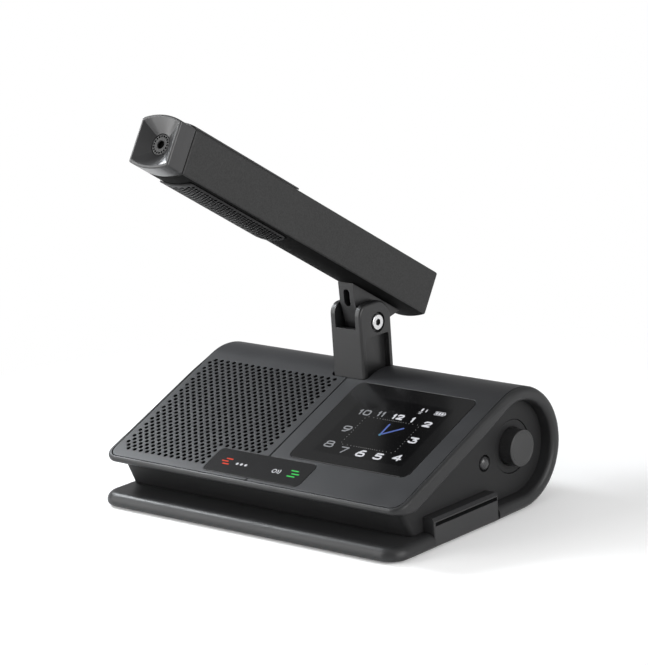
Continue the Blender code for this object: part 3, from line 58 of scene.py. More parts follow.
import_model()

MM = 0.001
PI = math.pi
QUARTER = PI / 2

# housing, front-based: depth runs back from the base's front edge, slope runs up the top from there
HOUSING_WIDTH = 233.0 * MM
HOUSING_DEPTH = 155.05 * MM
HOUSING_HEIGHT = 73.9 * MM
MAT_PROUD = 0.8 * MM
BAND_THICKNESS = 8.2 * MM
TOP_SLOPE = math.radians(22.38)
LIP_FRONT = 5.4 * MM
NOSE_HEIGHT = 4.0 * MM
CEILING_DEPTH = 21.0 * MM
WALL_FOOT_DEPTH = 24.4 * MM
WALL_LEAN = math.radians(24.0)
BASE_CORNER_RADIUS = 12.0 * MM
LIP_CORNER_RADIUS = 9.0 * MM
RIM_ROUND = 4.0 * MM
RIM_BLEND = 22.0 * MM
BASE_ROUND = (2.7 * MM, 5.4 * MM)
SLOPE_ROUND_SHARE = 0.575
NOSE_ROUND_SHARE = 0.46
INNER_ROUND_SHARE = 0.75
SIDE_RECESS_RIGHT = 8.6 * MM
SIDE_RECESS_LEFT = 5.1 * MM
CORE_CORNER_RADIUS = 5.4 * MM
CORE_WALL = 2.5 * MM
GAP = 0.3 * MM

PANEL_THICKNESS = 1.8 * MM
PANEL_FRONT = 8.0 * MM
PANEL_INSET = 2.9 * MM
PANEL_SEAM_X = -1.06 * MM
PANEL_CORNER_RADIUS = 7.0 * MM
PANEL_END_ANGLE = math.radians(-30.0)
PANEL_EDGE = 0.22 * MM
SKIN_ROOM = 0.3 * MM

GLASS_X = (11.0 * MM, 100.6 * MM)
GLASS_SLOPE = (34.1 * MM, 107.8 * MM)
GLASS_THICKNESS = 0.95 * MM
GLASS_PROUD = 0.05 * MM
GLASS_CORNER_RADIUS = 5.0 * MM
GLASS_CHAMFER = 0.15 * MM
WINDOW_CHAMFER = 0.3 * MM
LIT_X = (23.4 * MM, 90.8 * MM)
LIT_SLOPE = (42.7 * MM, 96.6 * MM)
TOUCH_X = (-38.0 * MM, 37.1 * MM)
TOUCH_SLOPE = (10.5 * MM, 31.4 * MM)
TOUCH_CORNER_RADIUS = 3.5 * MM

HOLE_RADIUS = 1.32 * MM
HOLE_PITCH_X = 5.132 * MM
HOLE_PITCH_S = 2.905 * MM
HOLE_START_X = -108.1 * MM
HOLE_START_S = 16.25 * MM
HOLE_ROWS = 32
HOLE_COLUMNS = 20
HOLE_TOUCH_ROOM = 1.9 * MM

KNOB_DEPTH = 118.6 * MM
KNOB_HEIGHT = 37.9 * MM
KNOB_RADIUS = 10.9 * MM
KNOB_REACH = 7.9 * MM
KNOB_SUNK = 1.1 * MM
BEZEL_RADIUS = 15.8 * MM
BEZEL_POCKET = 1.6 * MM
BEZEL_THICKNESS = 1.0 * MM
KNOB_RING_GAP = 0.5 * MM
BUTTON_DEPTH = 92.9 * MM
BUTTON_HEIGHT = 34.4 * MM
BUTTON_RADIUS = 4.1 * MM
BUTTON_HOLE_RADIUS = 5.0 * MM
BUTTON_REACH = 1.8 * MM
BUTTON_DOME = 2.3 * MM
BUTTON_FLANGE_RADIUS = 6.0 * MM
BUTTON_FLANGE = 0.9 * MM

READER_DEPTH = (35.7 * MM, 93.7 * MM)
READER_FACE_INSET = 0.6 * MM
READER_TOP = 17.9 * MM
READER_UNDERSIDE = 1.3 * MM
READER_BLOCK_WIDTH = 11.0 * MM
READER_LENGTH = 56.0 * MM
READER_TRAY_TOP = 17.4 * MM
READER_CHAMFER = 0.9 * MM
READER_TOP_CHAMFER = 1.7 * MM
SLOT_LENGTH = 56.0 * MM
SLOT_FRONT = 36.7 * MM
SLOT_HEIGHTS = (13.3 * MM, 15.5 * MM)
SLOT_END_WALL = 2.0 * MM

POST_WIDTH = 24.0 * MM
POST_DEPTH = (101.9 * MM, 130.0 * MM)
PIVOT = (117.7 * MM, 101.6 * MM)
POST_TOP = 114.5 * MM
POST_FRONT_CORNER = 7.0 * MM
POST_EDGE = 1.6 * MM
FORK_GAP = 15.8 * MM
FORK_FLOOR = 99.8 * MM
FORK_FLOOR_BACK = 90.0 * MM
FORK_SWEEP = 10.2 * MM
FORK_LIP = 3.5 * MM
FORK_SWEEP_START = math.radians(208)
FORK_SWEEP_END = math.radians(283)
POST_FOOT = 54.8 * MM
FLANGE_THICKNESS = 4.0 * MM
FLANGE_X = 19.0 * MM
FLANGE_DEPTH = (98.5 * MM, 133.0 * MM)
POCKET_DEPTH = 4.0 * MM
POCKET_Y = (105.4 * MM, 126.6 * MM)
POCKET_HEIGHTS = (58.9 * MM, 93.8 * MM)
POST_HOLE_MARGIN = (2.0 * MM, 0.7 * MM)
POST_HOLE_CORNER = 3.0 * MM
COUNTERBORE_RADIUS = 6.2 * MM
COUNTERBORE_DEPTH = 2.0 * MM
PIVOT_HEAD_RADIUS = 4.7 * MM
PIVOT_SHANK_RADIUS = 2.5 * MM
PIVOT_HOLE_RADIUS = 2.8 * MM
PIVOT_SOCKET_RADIUS = 2.2 * MM
PIVOT_SOCKET_DEPTH = 1.2 * MM
PIVOT_HEAD_LENGTH = 1.9 * MM
NUT_RADIUS = 4.6 * MM
NUT_LENGTH = 1.7 * MM

ARM_TILT = math.radians(32.17)
KNUCKLE_WIDTH = 11.6 * MM
HUB_RADIUS = 9.0 * MM
KNUCKLE_FRONT_TOP = (25.1 * MM, 14.9 * MM)
KNUCKLE_FRONT_LOW = (18.4 * MM, 5.4 * MM)
KNUCKLE_REAR_LOW = (-16.7 * MM, 8.6 * MM)
KNUCKLE_REAR_TIP = (-22.9 * MM, 14.9 * MM)
CABLE_SLOT_WIDTH = 4.6 * MM
CABLE_SLOT_HEIGHTS = (112.6 * MM, 123.4 * MM)
BEAM_WIDTH = 29.9 * MM
BEAM_FLAT_HEIGHT = 26.3 * MM
BEAM_CROWN = 2.8 * MM
BEAM_UNDER = 18.0 * MM
BEAM_FRONT = 211.9 * MM
BEAM_REAR = -36.4 * MM
BEAM_WALL = 2.2 * MM
CAP_LENGTH = 13.3 * MM
STRIP_WIDTH = 25.0 * MM
STRIP_THICKNESS = 2.0 * MM
STRIP_PROUD = 1.2 * MM
STRIP_TOP = (100.2 * MM, 197.8 * MM)
STRIP_BOTTOM = (99.4 * MM, 187.8 * MM)
STRIP_HOLE_RADIUS = 0.95 * MM
STRIP_HOLE_PITCH = 2.5 * MM
STRIP_ROWS = 5
STRIP_MARGIN = 1.5 * MM
STRIP_CORNER = 3.0 * MM
FUNNEL_RIM = 1.5 * MM
FUNNEL_DEPTH = 5.1 * MM
DISC_RADIUS = 6.1 * MM
DISC_THICKNESS = 1.0 * MM
DISC_HOLE_RADIUS = 2.3 * MM
CAPSULE_RADIUS = 4.85 * MM
PLUG_THICKNESS = 2.0 * MM

MAT_SIZE = (194.0 * MM, 76.0 * MM)
MAT_THICKNESS = 1.6 * MM
MAT_CORNER_RADIUS = 6.0 * MM
DOOR_X = (-88.0 * MM, -32.0 * MM)
DOOR_Y = (-23.0 * MM, 26.0 * MM)
DOOR_THICKNESS = 2.0 * MM
DOOR_LEDGE = 2.5 * MM
SCREW_HEAD_RADIUS = 2.9 * MM
SCREW_HEAD = 1.6 * MM
SCREW_HOLE_RADIUS = 1.7 * MM
BASE_SCREW_X = 100.5 * MM
BASE_SCREW_DEPTHS = (31.0 * MM, 110.0 * MM)

REAR_RADIUS = (HOUSING_HEIGHT - MAT_PROUD) / 2
REAR_DEPTH = HOUSING_DEPTH - REAR_RADIUS
REAR_HEIGHT = MAT_PROUD + REAR_RADIUS
BASE_TOP = MAT_PROUD + BAND_THICKNESS
INNER_RADIUS = REAR_RADIUS - BAND_THICKNESS
SLOPE_RUN = math.tan(TOP_SLOPE)
PLANE_HEIGHT = REAR_HEIGHT + REAR_RADIUS / math.cos(TOP_SLOPE) - SLOPE_RUN * REAR_DEPTH
SLOPE_END = (REAR_DEPTH - REAR_RADIUS * math.sin(TOP_SLOPE)) / math.cos(TOP_SLOPE)
PANEL_LENGTH = SLOPE_END + REAR_RADIUS * (QUARTER + TOP_SLOPE - PANEL_END_ANGLE)
RIGHT_WALL = HOUSING_WIDTH / 2 - SIDE_RECESS_RIGHT
LEFT_WALL = HOUSING_WIDTH / 2 - SIDE_RECESS_LEFT

ARC_STEPS = 44
CORNER_STEPS = 10
RIM_STEPS = 7
ROUND_STEPS = 72
SIDEWAYS = Euler((QUARTER, 0, QUARTER)).to_matrix().to_4x4()
LENGTHWISE = Matrix.Rotation(QUARTER, 4, "X")


def back(depth):
    return depth - HOUSING_DEPTH / 2


ON_SLOPE = Matrix.Translation((0, back(0), PLANE_HEIGHT)) @ Matrix.Rotation(TOP_SLOPE, 4, "X")
ON_ARM = Matrix.Translation((0, back(PIVOT[0]), PIVOT[1])) @ Matrix.Rotation(-ARM_TILT, 4, "X")


SLOPE_OUT = Vector((0, -math.sin(TOP_SLOPE), math.cos(TOP_SLOPE)))
SLOPE_UP = Vector((0, math.cos(TOP_SLOPE), math.sin(TOP_SLOPE)))
ACROSS = Vector((1, 0, 0))


def top_height(depth):
    return PLANE_HEIGHT + SLOPE_RUN * depth


# mesh helpers

def link(name, mesh):
    thing = bpy.data.objects.new(name, mesh)
    bpy.context.scene.collection.objects.link(thing)
    return thing


def from_bmesh(name, shape):
    bmesh.ops.recalc_face_normals(shape, faces=shape.faces)
    mesh = bpy.data.meshes.new(name)
    shape.to_mesh(mesh)
    shape.free()
    return link(name, mesh)


def to_bmesh(thing):
    shape = bmesh.new()
    shape.from_mesh(thing.data)
    return shape


def store(thing, shape):
    bmesh.ops.recalc_face_normals(shape, faces=shape.faces)
    shape.to_mesh(thing.data)
    shape.free()
    return thing


def outline_solid(name, points, low, high, turn=None, holes=(), tidy=True):
    """A flat closed outline with holes, given thickness from low to high along its own Z, then turned."""
    curve = bpy.data.curves.new(name + "_outline", "CURVE")
    curve.dimensions = "2D"
    curve.fill_mode = "BOTH"
    for loop in [points] + list(holes):
        line = curve.splines.new("POLY")
        line.points.add(len(loop) - 1)
        for spot, place in zip(line.points, loop):
            spot.co = (place[0], place[1], 0, 1)
        line.use_cyclic_u = True
    curve.extrude = (high - low) / 2
    drawn = link(name + "_curve", curve)
    bpy.context.view_layer.update()
    mesh = bpy.data.meshes.new_from_object(drawn)
    bpy.data.objects.remove(drawn, do_unlink=True)
    mesh.transform(Matrix.Translation((0, 0, (low + high) / 2)))
    shape = bmesh.new()
    shape.from_mesh(mesh)
    bpy.data.meshes.remove(mesh)
    bmesh.ops.remove_doubles(shape, verts=shape.verts, dist=MM / 1000)
    if tidy:
        bmesh.ops.dissolve_limit(shape, angle_limit=math.radians(0.2), verts=shape.verts, edges=shape.edges)
    if turn is not None:
        bmesh.ops.transform(shape, matrix=turn, verts=shape.verts)
    return from_bmesh(name, shape)


def box(name, x, y, z):
    shape = bmesh.new()
    bmesh.ops.create_cube(shape, size=1)
    bmesh.ops.scale(shape, vec=(x[1] - x[0], y[1] - y[0], z[1] - z[0]), verts=shape.verts)
    bmesh.ops.translate(shape, vec=((x[0] + x[1]) / 2, (y[0] + y[1]) / 2, (z[0] + z[1]) / 2), verts=shape.verts)
    return from_bmesh(name, shape)


def rod(name, place, direction, radius, low, high, steps=ROUND_STEPS):
    shape = bmesh.new()
    bmesh.ops.create_cone(shape, cap_ends=True, segments=steps, radius1=radius, radius2=radius, depth=high - low)
    bmesh.ops.translate(shape, vec=(0, 0, (low + high) / 2), verts=shape.verts)
    turn = Vector(direction).to_track_quat("Z", "Y").to_matrix().to_4x4()
    bmesh.ops.transform(shape, matrix=Matrix.Translation(place) @ turn, verts=shape.verts)
    return from_bmesh(name, shape)


def turned(name, profile, place, direction, steps=ROUND_STEPS):
    """A profile of (radius, height) turned about the line through place; rings with radius 0 close on the axis."""
    shape = bmesh.new()
    rings = []
    for radius, height in profile:
        if radius == 0:
            rings.append([shape.verts.new((0, 0, height))])
        else:
            rings.append([shape.verts.new((radius * math.cos(2 * PI * n / steps), radius * math.sin(2 * PI * n / steps),
                                           height)) for n in range(steps)])
    pairs = list(zip(rings, rings[1:]))
    if profile[0][0] > 0:
        pairs.append((rings[-1], rings[0]))
    for first, second in pairs:
        for n in range(steps):
            after = (n + 1) % steps
            corners = [first[n % len(first)], first[after % len(first)], second[after % len(second)],
                       second[n % len(second)]]
            unique = list(dict.fromkeys(corners))
            if len(unique) > 2:
                shape.faces.new(unique)
    turn = Vector(direction).to_track_quat("Z", "Y").to_matrix().to_4x4()
    bmesh.ops.transform(shape, matrix=Matrix.Translation(place) @ turn, verts=shape.verts)
    return from_bmesh(name, shape)


def loft(name, rings, closed_ends=True):
    """Skin over rings of equal point count."""
    shape = bmesh.new()
    loops = [[shape.verts.new(spot) for spot in ring] for ring in rings]
    count = len(loops[0])
    for first, second in zip(loops, loops[1:]):
        for n in range(count):
            after = (n + 1) % count
            shape.faces.new((first[n], first[after], second[after], second[n]))
    if closed_ends:
        shape.faces.new(loops[0])
        shape.faces.new(loops[-1])
    return from_bmesh(name, shape)


def baked(thing):
    """Make the object's modifiers part of its mesh."""
    bpy.context.view_layer.update()
    mesh = bpy.data.meshes.new_from_object(thing.evaluated_get(bpy.context.evaluated_depsgraph_get()))
    thing.modifiers.clear()
    thing.data = mesh
    return thing


def carve(thing, *tools, operation="DIFFERENCE"):
    for tool in tools:
        change = thing.modifiers.new("carve", "BOOLEAN")
        change.operation = operation
        change.object = tool
        change.solver = "MANIFOLD"
        baked(thing)
        bpy.data.objects.remove(tool, do_unlink=True)
    return thing


def join(thing, *tools):
    return carve(thing, *tools, operation="UNION")


def merged(name, things):
    """Several meshes as one object."""
    shape = bmesh.new()
    for thing in things:
        shape.from_mesh(thing.data)
        bpy.data.objects.remove(thing, do_unlink=True)
    return from_bmesh(name, shape)


def round_edges(thing, chosen, radius, steps=4):
    shape = to_bmesh(thing)
    picked = [edge for edge in shape.edges if edge.is_manifold and chosen(edge)]
    bmesh.ops.bevel(shape, geom=picked, offset=radius, segments=steps, profile=0.5, affect="EDGES",
                    clamp_overlap=True)
    return store(thing, shape)


def middle_of(edge):
    return (edge.verts[0].co + edge.verts[1].co) / 2


def along(edge, axis):
    run = (edge.verts[0].co - edge.verts[1].co).normalized()
    return abs(run[axis]) > 0.999


def smooth(thing, angle=32):
    for face in thing.data.polygons:
        face.use_smooth = True
    thing.data.set_sharp_from_angle(angle=math.radians(angle))
    return thing


def evened(thing):
    """Let large flat faces set the shading, so that their rounded edges don't bend it."""
    change = thing.modifiers.new("even", "WEIGHTED_NORMAL")
    change.keep_sharp = True
    return baked(thing)


def eased(thing, width, steps=2, angle=35):
    """Small rounding on every edge sharper than angle."""
    change = thing.modifiers.new("ease", "BEVEL")
    change.width = width
    change.segments = steps
    change.limit_method = "ANGLE"
    change.angle_limit = math.radians(angle)
    change.use_clamp_overlap = True
    change.harden_normals = False
    return baked(thing)


def rounded_rectangle(x, y, radius, steps=CORNER_STEPS):
    points = []
    corners = [(x[1] - radius, y[1] - radius, 0), (x[0] + radius, y[1] - radius, 1),
               (x[0] + radius, y[0] + radius, 2), (x[1] - radius, y[0] + radius, 3)]
    for across, up, quarter in corners:
        for step in range(steps + 1):
            turn = QUARTER * (quarter + step / steps)
            points.append((across + radius * math.cos(turn), up + radius * math.sin(turn)))
    return points


def grown(span, amount):
    return (span[0] - amount, span[1] + amount)


def plate(name, x, y, radius, layers, turn=None, steps=CORNER_STEPS):
    """A rounded plate built up in layers of (height, inset), so that its edges can be chamfered or rounded."""
    rings = []
    for height, inset in layers:
        ring = rounded_rectangle(grown(x, -inset), grown(y, -inset), radius - inset, steps)
        rings.append([(across, up, height) for across, up in ring])
    thing = loft(name, rings)
    if turn is not None:
        thing.data.transform(turn)
    return thing


def circle(centre, radius, steps):
    return [(centre[0] + radius * math.cos(2 * PI * n / steps), centre[1] + radius * math.sin(2 * PI * n / steps))
            for n in range(steps)]


# materials

def node(tree, kind, inputs=None, **settings):
    made = tree.nodes.new(kind)
    for key, value in settings.items():
        setattr(made, key, value)
    for key, value in (inputs or {}).items():
        if isinstance(value, bpy.types.NodeSocket):
            tree.links.new(value, made.inputs[key])
        else:
            made.inputs[key].default_value = value
    return made


def fresh(name):
    look = bpy.data.materials.new(name)
    look.use_nodes = True
    tree = look.node_tree
    shader = tree.nodes["Principled BSDF"]
    return look, tree, shader


def grain_height(tree, place, size, detail=2.0):
    return node(tree, "ShaderNodeTexNoise", {"Vector": place, "Scale": 1 / size, "Detail": detail,
                                             "Roughness": 0.55}).outputs["Fac"]


def edge_factor(tree, radius):
    """How close the surface is to a corner, from the angle between its rounded and its true direction."""
    soft = node(tree, "ShaderNodeBevel", {"Radius": radius}, samples=6)
    true = node(tree, "ShaderNodeNewGeometry")
    dot = node(tree, "ShaderNodeVectorMath", operation="DOT_PRODUCT")
    tree.links.new(soft.outputs["Normal"], dot.inputs[0])
    tree.links.new(true.outputs["True Normal"], dot.inputs[1])
    ramp = node(tree, "ShaderNodeMapRange", {"Value": dot.outputs["Value"], "From Min": 0.995, "From Max": 0.8,
                                             "To Min": 0.0, "To Max": 1.0})
    return soft.outputs["Normal"], ramp.outputs["Result"]


def moulded(name, colour, roughness, grain=0.5 * MM, depth=0.012 * MM, speck=0.0, spread=0.08, edge_highlight=1.35,
            edge=0.25 * MM, coat=0.0, specular=0.5):
    """Moulded plastic or paint with a fine texture, uneven gloss and rounded edges that are painted slightly lighter, a
    painted highlight.
    """
    look, tree, shader = fresh(name)
    place = node(tree, "ShaderNodeTexCoord").outputs["Object"]
    cloud = node(tree, "ShaderNodeTexNoise", {"Vector": place, "Scale": 45.0, "Detail": 3.0})
    fine = grain_height(tree, place, grain)
    tone = node(tree, "ShaderNodeMapRange", {"Value": cloud.outputs["Fac"], "From Min": 0.3, "From Max": 0.7,
                                             "To Min": 1 - spread, "To Max": 1 + spread})
    mottle = node(tree, "ShaderNodeMapRange", {"Value": fine, "From Min": 0.3, "From Max": 0.7,
                                               "To Min": 1 - speck, "To Max": 1 + speck})
    both = node(tree, "ShaderNodeMath", operation="MULTIPLY")
    tree.links.new(tone.outputs["Result"], both.inputs[0])
    tree.links.new(mottle.outputs["Result"], both.inputs[1])
    # the edge factor paints the base colour lighter near every edge: a painted highlight along edges
    normal, corner = edge_factor(tree, edge)
    painted_edge_highlight = node(tree, "ShaderNodeMapRange", {"Value": corner, "To Min": 1.0, "To Max": edge_highlight})
    all_three = node(tree, "ShaderNodeMath", operation="MULTIPLY")
    tree.links.new(both.outputs["Value"], all_three.inputs[0])
    tree.links.new(painted_edge_highlight.outputs["Result"], all_three.inputs[1])
    tint = node(tree, "ShaderNodeVectorMath", operation="SCALE")
    tint.inputs[0].default_value = colour
    tree.links.new(all_three.outputs["Value"], tint.inputs["Scale"])
    tree.links.new(tint.outputs["Vector"], shader.inputs["Base Color"])
    gloss = node(tree, "ShaderNodeMapRange", {"Value": cloud.outputs["Fac"], "From Min": 0.3, "From Max": 0.7,
                                              "To Min": roughness - 0.03, "To Max": roughness + 0.03})
    tree.links.new(gloss.outputs["Result"], shader.inputs["Roughness"])
    bump = node(tree, "ShaderNodeBump", {"Height": fine, "Normal": normal, "Strength": 1.0, "Distance": depth})
    tree.links.new(bump.outputs["Normal"], shader.inputs["Normal"])
    shader.inputs["Specular IOR Level"].default_value = specular
    shader.inputs["Coat Weight"].default_value = coat
    shader.inputs["Coat Roughness"].default_value = 0.2
    return look


def metal(name, colour, roughness, brush=0.15 * MM, depth=0.003 * MM):
    look, tree, shader = fresh(name)
    place = node(tree, "ShaderNodeTexCoord").outputs["Object"]
    stretch = node(tree, "ShaderNodeMapping", {"Vector": place, "Scale": (1.0, 0.15, 1.0)})
    lines = grain_height(tree, stretch.outputs["Vector"], brush, 3.0)
    cloud = node(tree, "ShaderNodeTexNoise", {"Vector": place, "Scale": 300.0, "Detail": 2.0})
    gloss = node(tree, "ShaderNodeMapRange", {"Value": cloud.outputs["Fac"], "To Min": roughness - 0.08,
                                              "To Max": roughness + 0.08})
    tree.links.new(gloss.outputs["Result"], shader.inputs["Roughness"])
    normal, corner = edge_factor(tree, 0.15 * MM)
    bump = node(tree, "ShaderNodeBump", {"Height": lines, "Normal": normal, "Distance": depth})
    tree.links.new(bump.outputs["Normal"], shader.inputs["Normal"])
    tint = node(tree, "ShaderNodeMapRange", {"Value": cloud.outputs["Fac"], "To Min": 0.9, "To Max": 1.08})
    scaled = node(tree, "ShaderNodeVectorMath", operation="SCALE")
    scaled.inputs[0].default_value = colour
    tree.links.new(tint.outputs["Result"], scaled.inputs["Scale"])
    tree.links.new(scaled.outputs["Vector"], shader.inputs["Base Color"])
    shader.inputs["Metallic"].default_value = 1.0
    return look


def between(tree, value, low, high, soft):
    """1 where the value lies between low and high, with soft edges."""
    rise = node(tree, "ShaderNodeMapRange", {"Value": value, "From Min": low - soft, "From Max": low + soft})
    fall = node(tree, "ShaderNodeMapRange", {"Value": value, "From Min": high + soft, "From Max": high - soft})
    both = node(tree, "ShaderNodeMath", operation="MULTIPLY")
    tree.links.new(rise.outputs["Result"], both.inputs[0])
    tree.links.new(fall.outputs["Result"], both.inputs[1])
    return both.outputs["Value"]


def dark_glass(name, border, lit=None, lit_x=None, lit_y=None):
    """Glossy dark cover glass; the screen behind it shows as a darker field."""
    look, tree, shader = fresh(name)
    place = node(tree, "ShaderNodeTexCoord").outputs["Object"]
    smear = node(tree, "ShaderNodeTexNoise", {"Vector": place, "Scale": 30.0, "Detail": 2.0})
    gloss = node(tree, "ShaderNodeMapRange", {"Value": smear.outputs["Fac"], "From Min": 0.35, "From Max": 0.7,
                                              "To Min": 0.17, "To Max": 0.19})
    tree.links.new(gloss.outputs["Result"], shader.inputs["Roughness"])
    shader.inputs["Specular IOR Level"].default_value = 0.4
    normal, corner = edge_factor(tree, 0.1 * MM)
    bump = node(tree, "ShaderNodeBump", {"Height": smear.outputs["Fac"], "Normal": normal, "Distance": 0.0004 * MM})
    tree.links.new(bump.outputs["Normal"], shader.inputs["Normal"])
    if lit is None:
        shader.inputs["Base Color"].default_value = (*border, 1)
    else:
        axes = node(tree, "ShaderNodeSeparateXYZ", {"Vector": place})
        across = between(tree, axes.outputs["X"], lit_x[0], lit_x[1], 0.15 * MM)
        deep = between(tree, axes.outputs["Y"], lit_y[0], lit_y[1], 0.15 * MM)
        field = node(tree, "ShaderNodeMath", operation="MULTIPLY")
        tree.links.new(across, field.inputs[0])
        tree.links.new(deep, field.inputs[1])
        mix = node(tree, "ShaderNodeMix", {"Factor": field.outputs["Value"]}, data_type="RGBA")
        mix.inputs["A"].default_value = (*border, 1)
        mix.inputs["B"].default_value = (*lit, 1)
        tree.links.new(mix.outputs["Result"], shader.inputs["Base Color"])
    return look


def glowing(name, colour, strength):
    """A lit or printed mark."""
    look, tree, shader = fresh(name)
    place = node(tree, "ShaderNodeTexCoord").outputs["Object"]
    grid = node(tree, "ShaderNodeTexNoise", {"Vector": place, "Scale": 1400.0, "Detail": 1.0})
    level = node(tree, "ShaderNodeMapRange", {"Value": grid.outputs["Fac"], "From Min": 0.3, "From Max": 0.7,
                                              "To Min": strength * 0.85, "To Max": strength * 1.15})
    shader.inputs["Base Color"].default_value = (0.01, 0.01, 0.01, 1)
    shader.inputs["Roughness"].default_value = 0.2
    shader.inputs["Emission Color"].default_value = (*colour, 1)
    tree.links.new(level.outputs["Result"], shader.inputs["Emission Strength"])
    return look


CHARCOAL = moulded("charcoal_moulding", (0.020, 0.0202, 0.021), 0.43, grain=0.45 * MM, depth=0.010 * MM,
                   specular=0.36)
PANEL_LOOK = moulded("panel_paint", (0.024, 0.0247, 0.0268), 0.43, grain=0.40 * MM, depth=0.008 * MM,
                     specular=0.34)
# the recess walls' moulding is painted half as light as the housing's: painted shade under the lip; the knob ring and
# the tube plug share it
DARK_WALL_AND_SHADE_LOOK = moulded("recess_moulding_and_shade", (0.010, 0.010, 0.0105), 0.58, grain=0.5 * MM, depth=0.012 * MM,
                    specular=0.35)
ARM_LOOK = moulded("arm_paint", (0.018, 0.018, 0.018), 0.46, grain=0.9 * MM, depth=0.022 * MM, speck=0.32,
                   specular=0.34)
# a much darker, duller copy of the arm paint for faces turned down: painted shade on the arm's underside
UNDERSIDE_SHADE_LOOK = moulded("arm_underside_painted_shade", (0.007, 0.007, 0.007), 0.75, grain=0.5 * MM, depth=0.018 * MM, specular=0.08)
POST_LOOK = moulded("post_paint", (0.014, 0.014, 0.0145), 0.36, grain=0.45 * MM, depth=0.010 * MM)
CAP_LOOK = moulded("cap_paint", (0.024, 0.024, 0.025), 0.32, grain=0.4 * MM, depth=0.006 * MM, coat=0.2)
KNOB_LOOK = moulded("knob_moulding", (0.022, 0.022, 0.0225), 0.38, grain=0.4 * MM, depth=0.008 * MM)
BUTTON_LOOK = moulded("button_moulding", (0.026, 0.026, 0.027), 0.24, grain=0.4 * MM, depth=0.004 * MM, coat=0.2)
READER_LOOK = moulded("reader_moulding", (0.020, 0.020, 0.021), 0.42, grain=0.45 * MM, depth=0.010 * MM)
RUBBER_LOOK = moulded("rubber", (0.020, 0.020, 0.020), 0.75, grain=0.8 * MM, depth=0.05 * MM)
# a copy of the strip paint with weaker reflection for the strip under the arm, so that it shows darker: painted shade
STRIP_UNDERSIDE_SHADE_LOOK = moulded("strip_underside_painted_shade", (0.026, 0.026, 0.0265), 0.5, grain=0.35 * MM, depth=0.006 * MM,
                           specular=0.22)
# near-black cloth behind the perforations; the same near-black is painted on the walls of the groove and the holes as
# painted shade
CLOTH_AND_SHADE_LOOK = moulded("grille_cloth", (0.004, 0.004, 0.004), 0.95, grain=0.35 * MM, depth=0.05 * MM, specular=0.05)
STRIP_LOOK = moulded("strip_steel_paint", (0.024, 0.024, 0.025), 0.42, grain=0.35 * MM, depth=0.006 * MM)
STEEL_LOOK = metal("screw_steel", (0.72, 0.72, 0.73), 0.28)
# dark steel for the hex socket's faces: painted shade in the socket
SOCKET_SHADE_LOOK = metal("socket_painted_shade", (0.045, 0.045, 0.046), 0.45)
DARK_STEEL_LOOK = metal("dark_steel", (0.10, 0.10, 0.105), 0.38)
BOARD_LOOK = moulded("board_mask", (0.01, 0.09, 0.03), 0.35, grain=1.2 * MM, depth=0.02 * MM, spread=0.2)
PAPER_LOOK = moulded("cone_paper", (0.030, 0.030, 0.030), 0.85, grain=0.6 * MM, depth=0.05 * MM)
GREY_LOOK = moulded("grey_moulding", (0.055, 0.055, 0.058), 0.5, grain=0.6 * MM, depth=0.015 * MM)
DISPLAY_LOOK = dark_glass("display_cover", (0.007, 0.007, 0.0073), (0.003, 0.003, 0.0033), LIT_X,
                          tuple(back(slope * math.cos(TOP_SLOPE)) for slope in LIT_SLOPE))
TOUCH_LOOK = dark_glass("touch_cover", (0.008, 0.008, 0.0087))

pieces = {}


def dress(thing, look, body, replaces=(), angle=32):
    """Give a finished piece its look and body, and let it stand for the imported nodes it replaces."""
    thing.data.materials.clear()
    thing.data.materials.append(look)
    if thing.type == "MESH":
        evened(smooth(thing, angle))
    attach(thing, body)
    if replaces:
        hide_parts(*replaces)
    pieces[thing.name] = thing
    return thing


# every use of this paints shade: grooves, holes, the hex socket and the arm's underside
def darken(thing, look, test):
    """Give the faces of a dressed piece that pass the test a second look."""
    thing.data.materials.append(look)
    for face in thing.data.polygons:
        face.material_index = 1 if test(face) else 0


# the housing's side profile

def arc(radius, start, end, steps):
    turns = [start + (end - start) * step / steps for step in range(steps + 1)]
    return [(REAR_DEPTH + radius * math.cos(turn), REAR_HEIGHT + radius * math.sin(turn)) for turn in turns]


def lip_corners():
    upper = (LIP_FRONT, top_height(LIP_FRONT))
    lower = (upper[0] + NOSE_HEIGHT * math.sin(TOP_SLOPE), upper[1] - NOSE_HEIGHT * math.cos(TOP_SLOPE))
    return upper, lower


def tangent_turn(place, radius):
    run, rise = REAR_DEPTH - place[0], REAR_HEIGHT - place[1]
    span = math.hypot(run, rise)
    return QUARTER + math.atan2(rise, run) + math.asin(radius / span)


def shifted(points):
    return [(back(depth), height) for depth, height in points]


def cavity_outline(shrink):
    ceiling = lip_corners()[1][1] - shrink
    start = (CEILING_DEPTH + shrink, ceiling)
    radius = INNER_RADIUS - shrink
    floor = BASE_TOP + shrink
    wall_run = math.tan(WALL_LEAN)
    wall_top = WALL_FOOT_DEPTH - (ceiling - BASE_TOP) * wall_run
    wall_foot = WALL_FOOT_DEPTH - shrink * wall_run
    curve = arc(radius, tangent_turn(start, radius), -QUARTER, ARC_STEPS)
    return [(wall_top, ceiling), start] + curve[:-1] + [(REAR_DEPTH, floor), (wall_foot, floor)]


def inner_line():
    """The C's inner face from the lip to the base's front, run out past both, as (y, z)."""
    ceiling = lip_corners()[1][1]
    start = (CEILING_DEPTH, ceiling)
    points = [(-HOUSING_DEPTH, ceiling), start]
    points += arc(INNER_RADIUS, tangent_turn(start, INNER_RADIUS), -QUARTER, ARC_STEPS * 2)
    return [Vector(spot) for spot in shifted(points + [(-HOUSING_DEPTH, BASE_TOP)])]


INNER_LINE = inner_line()


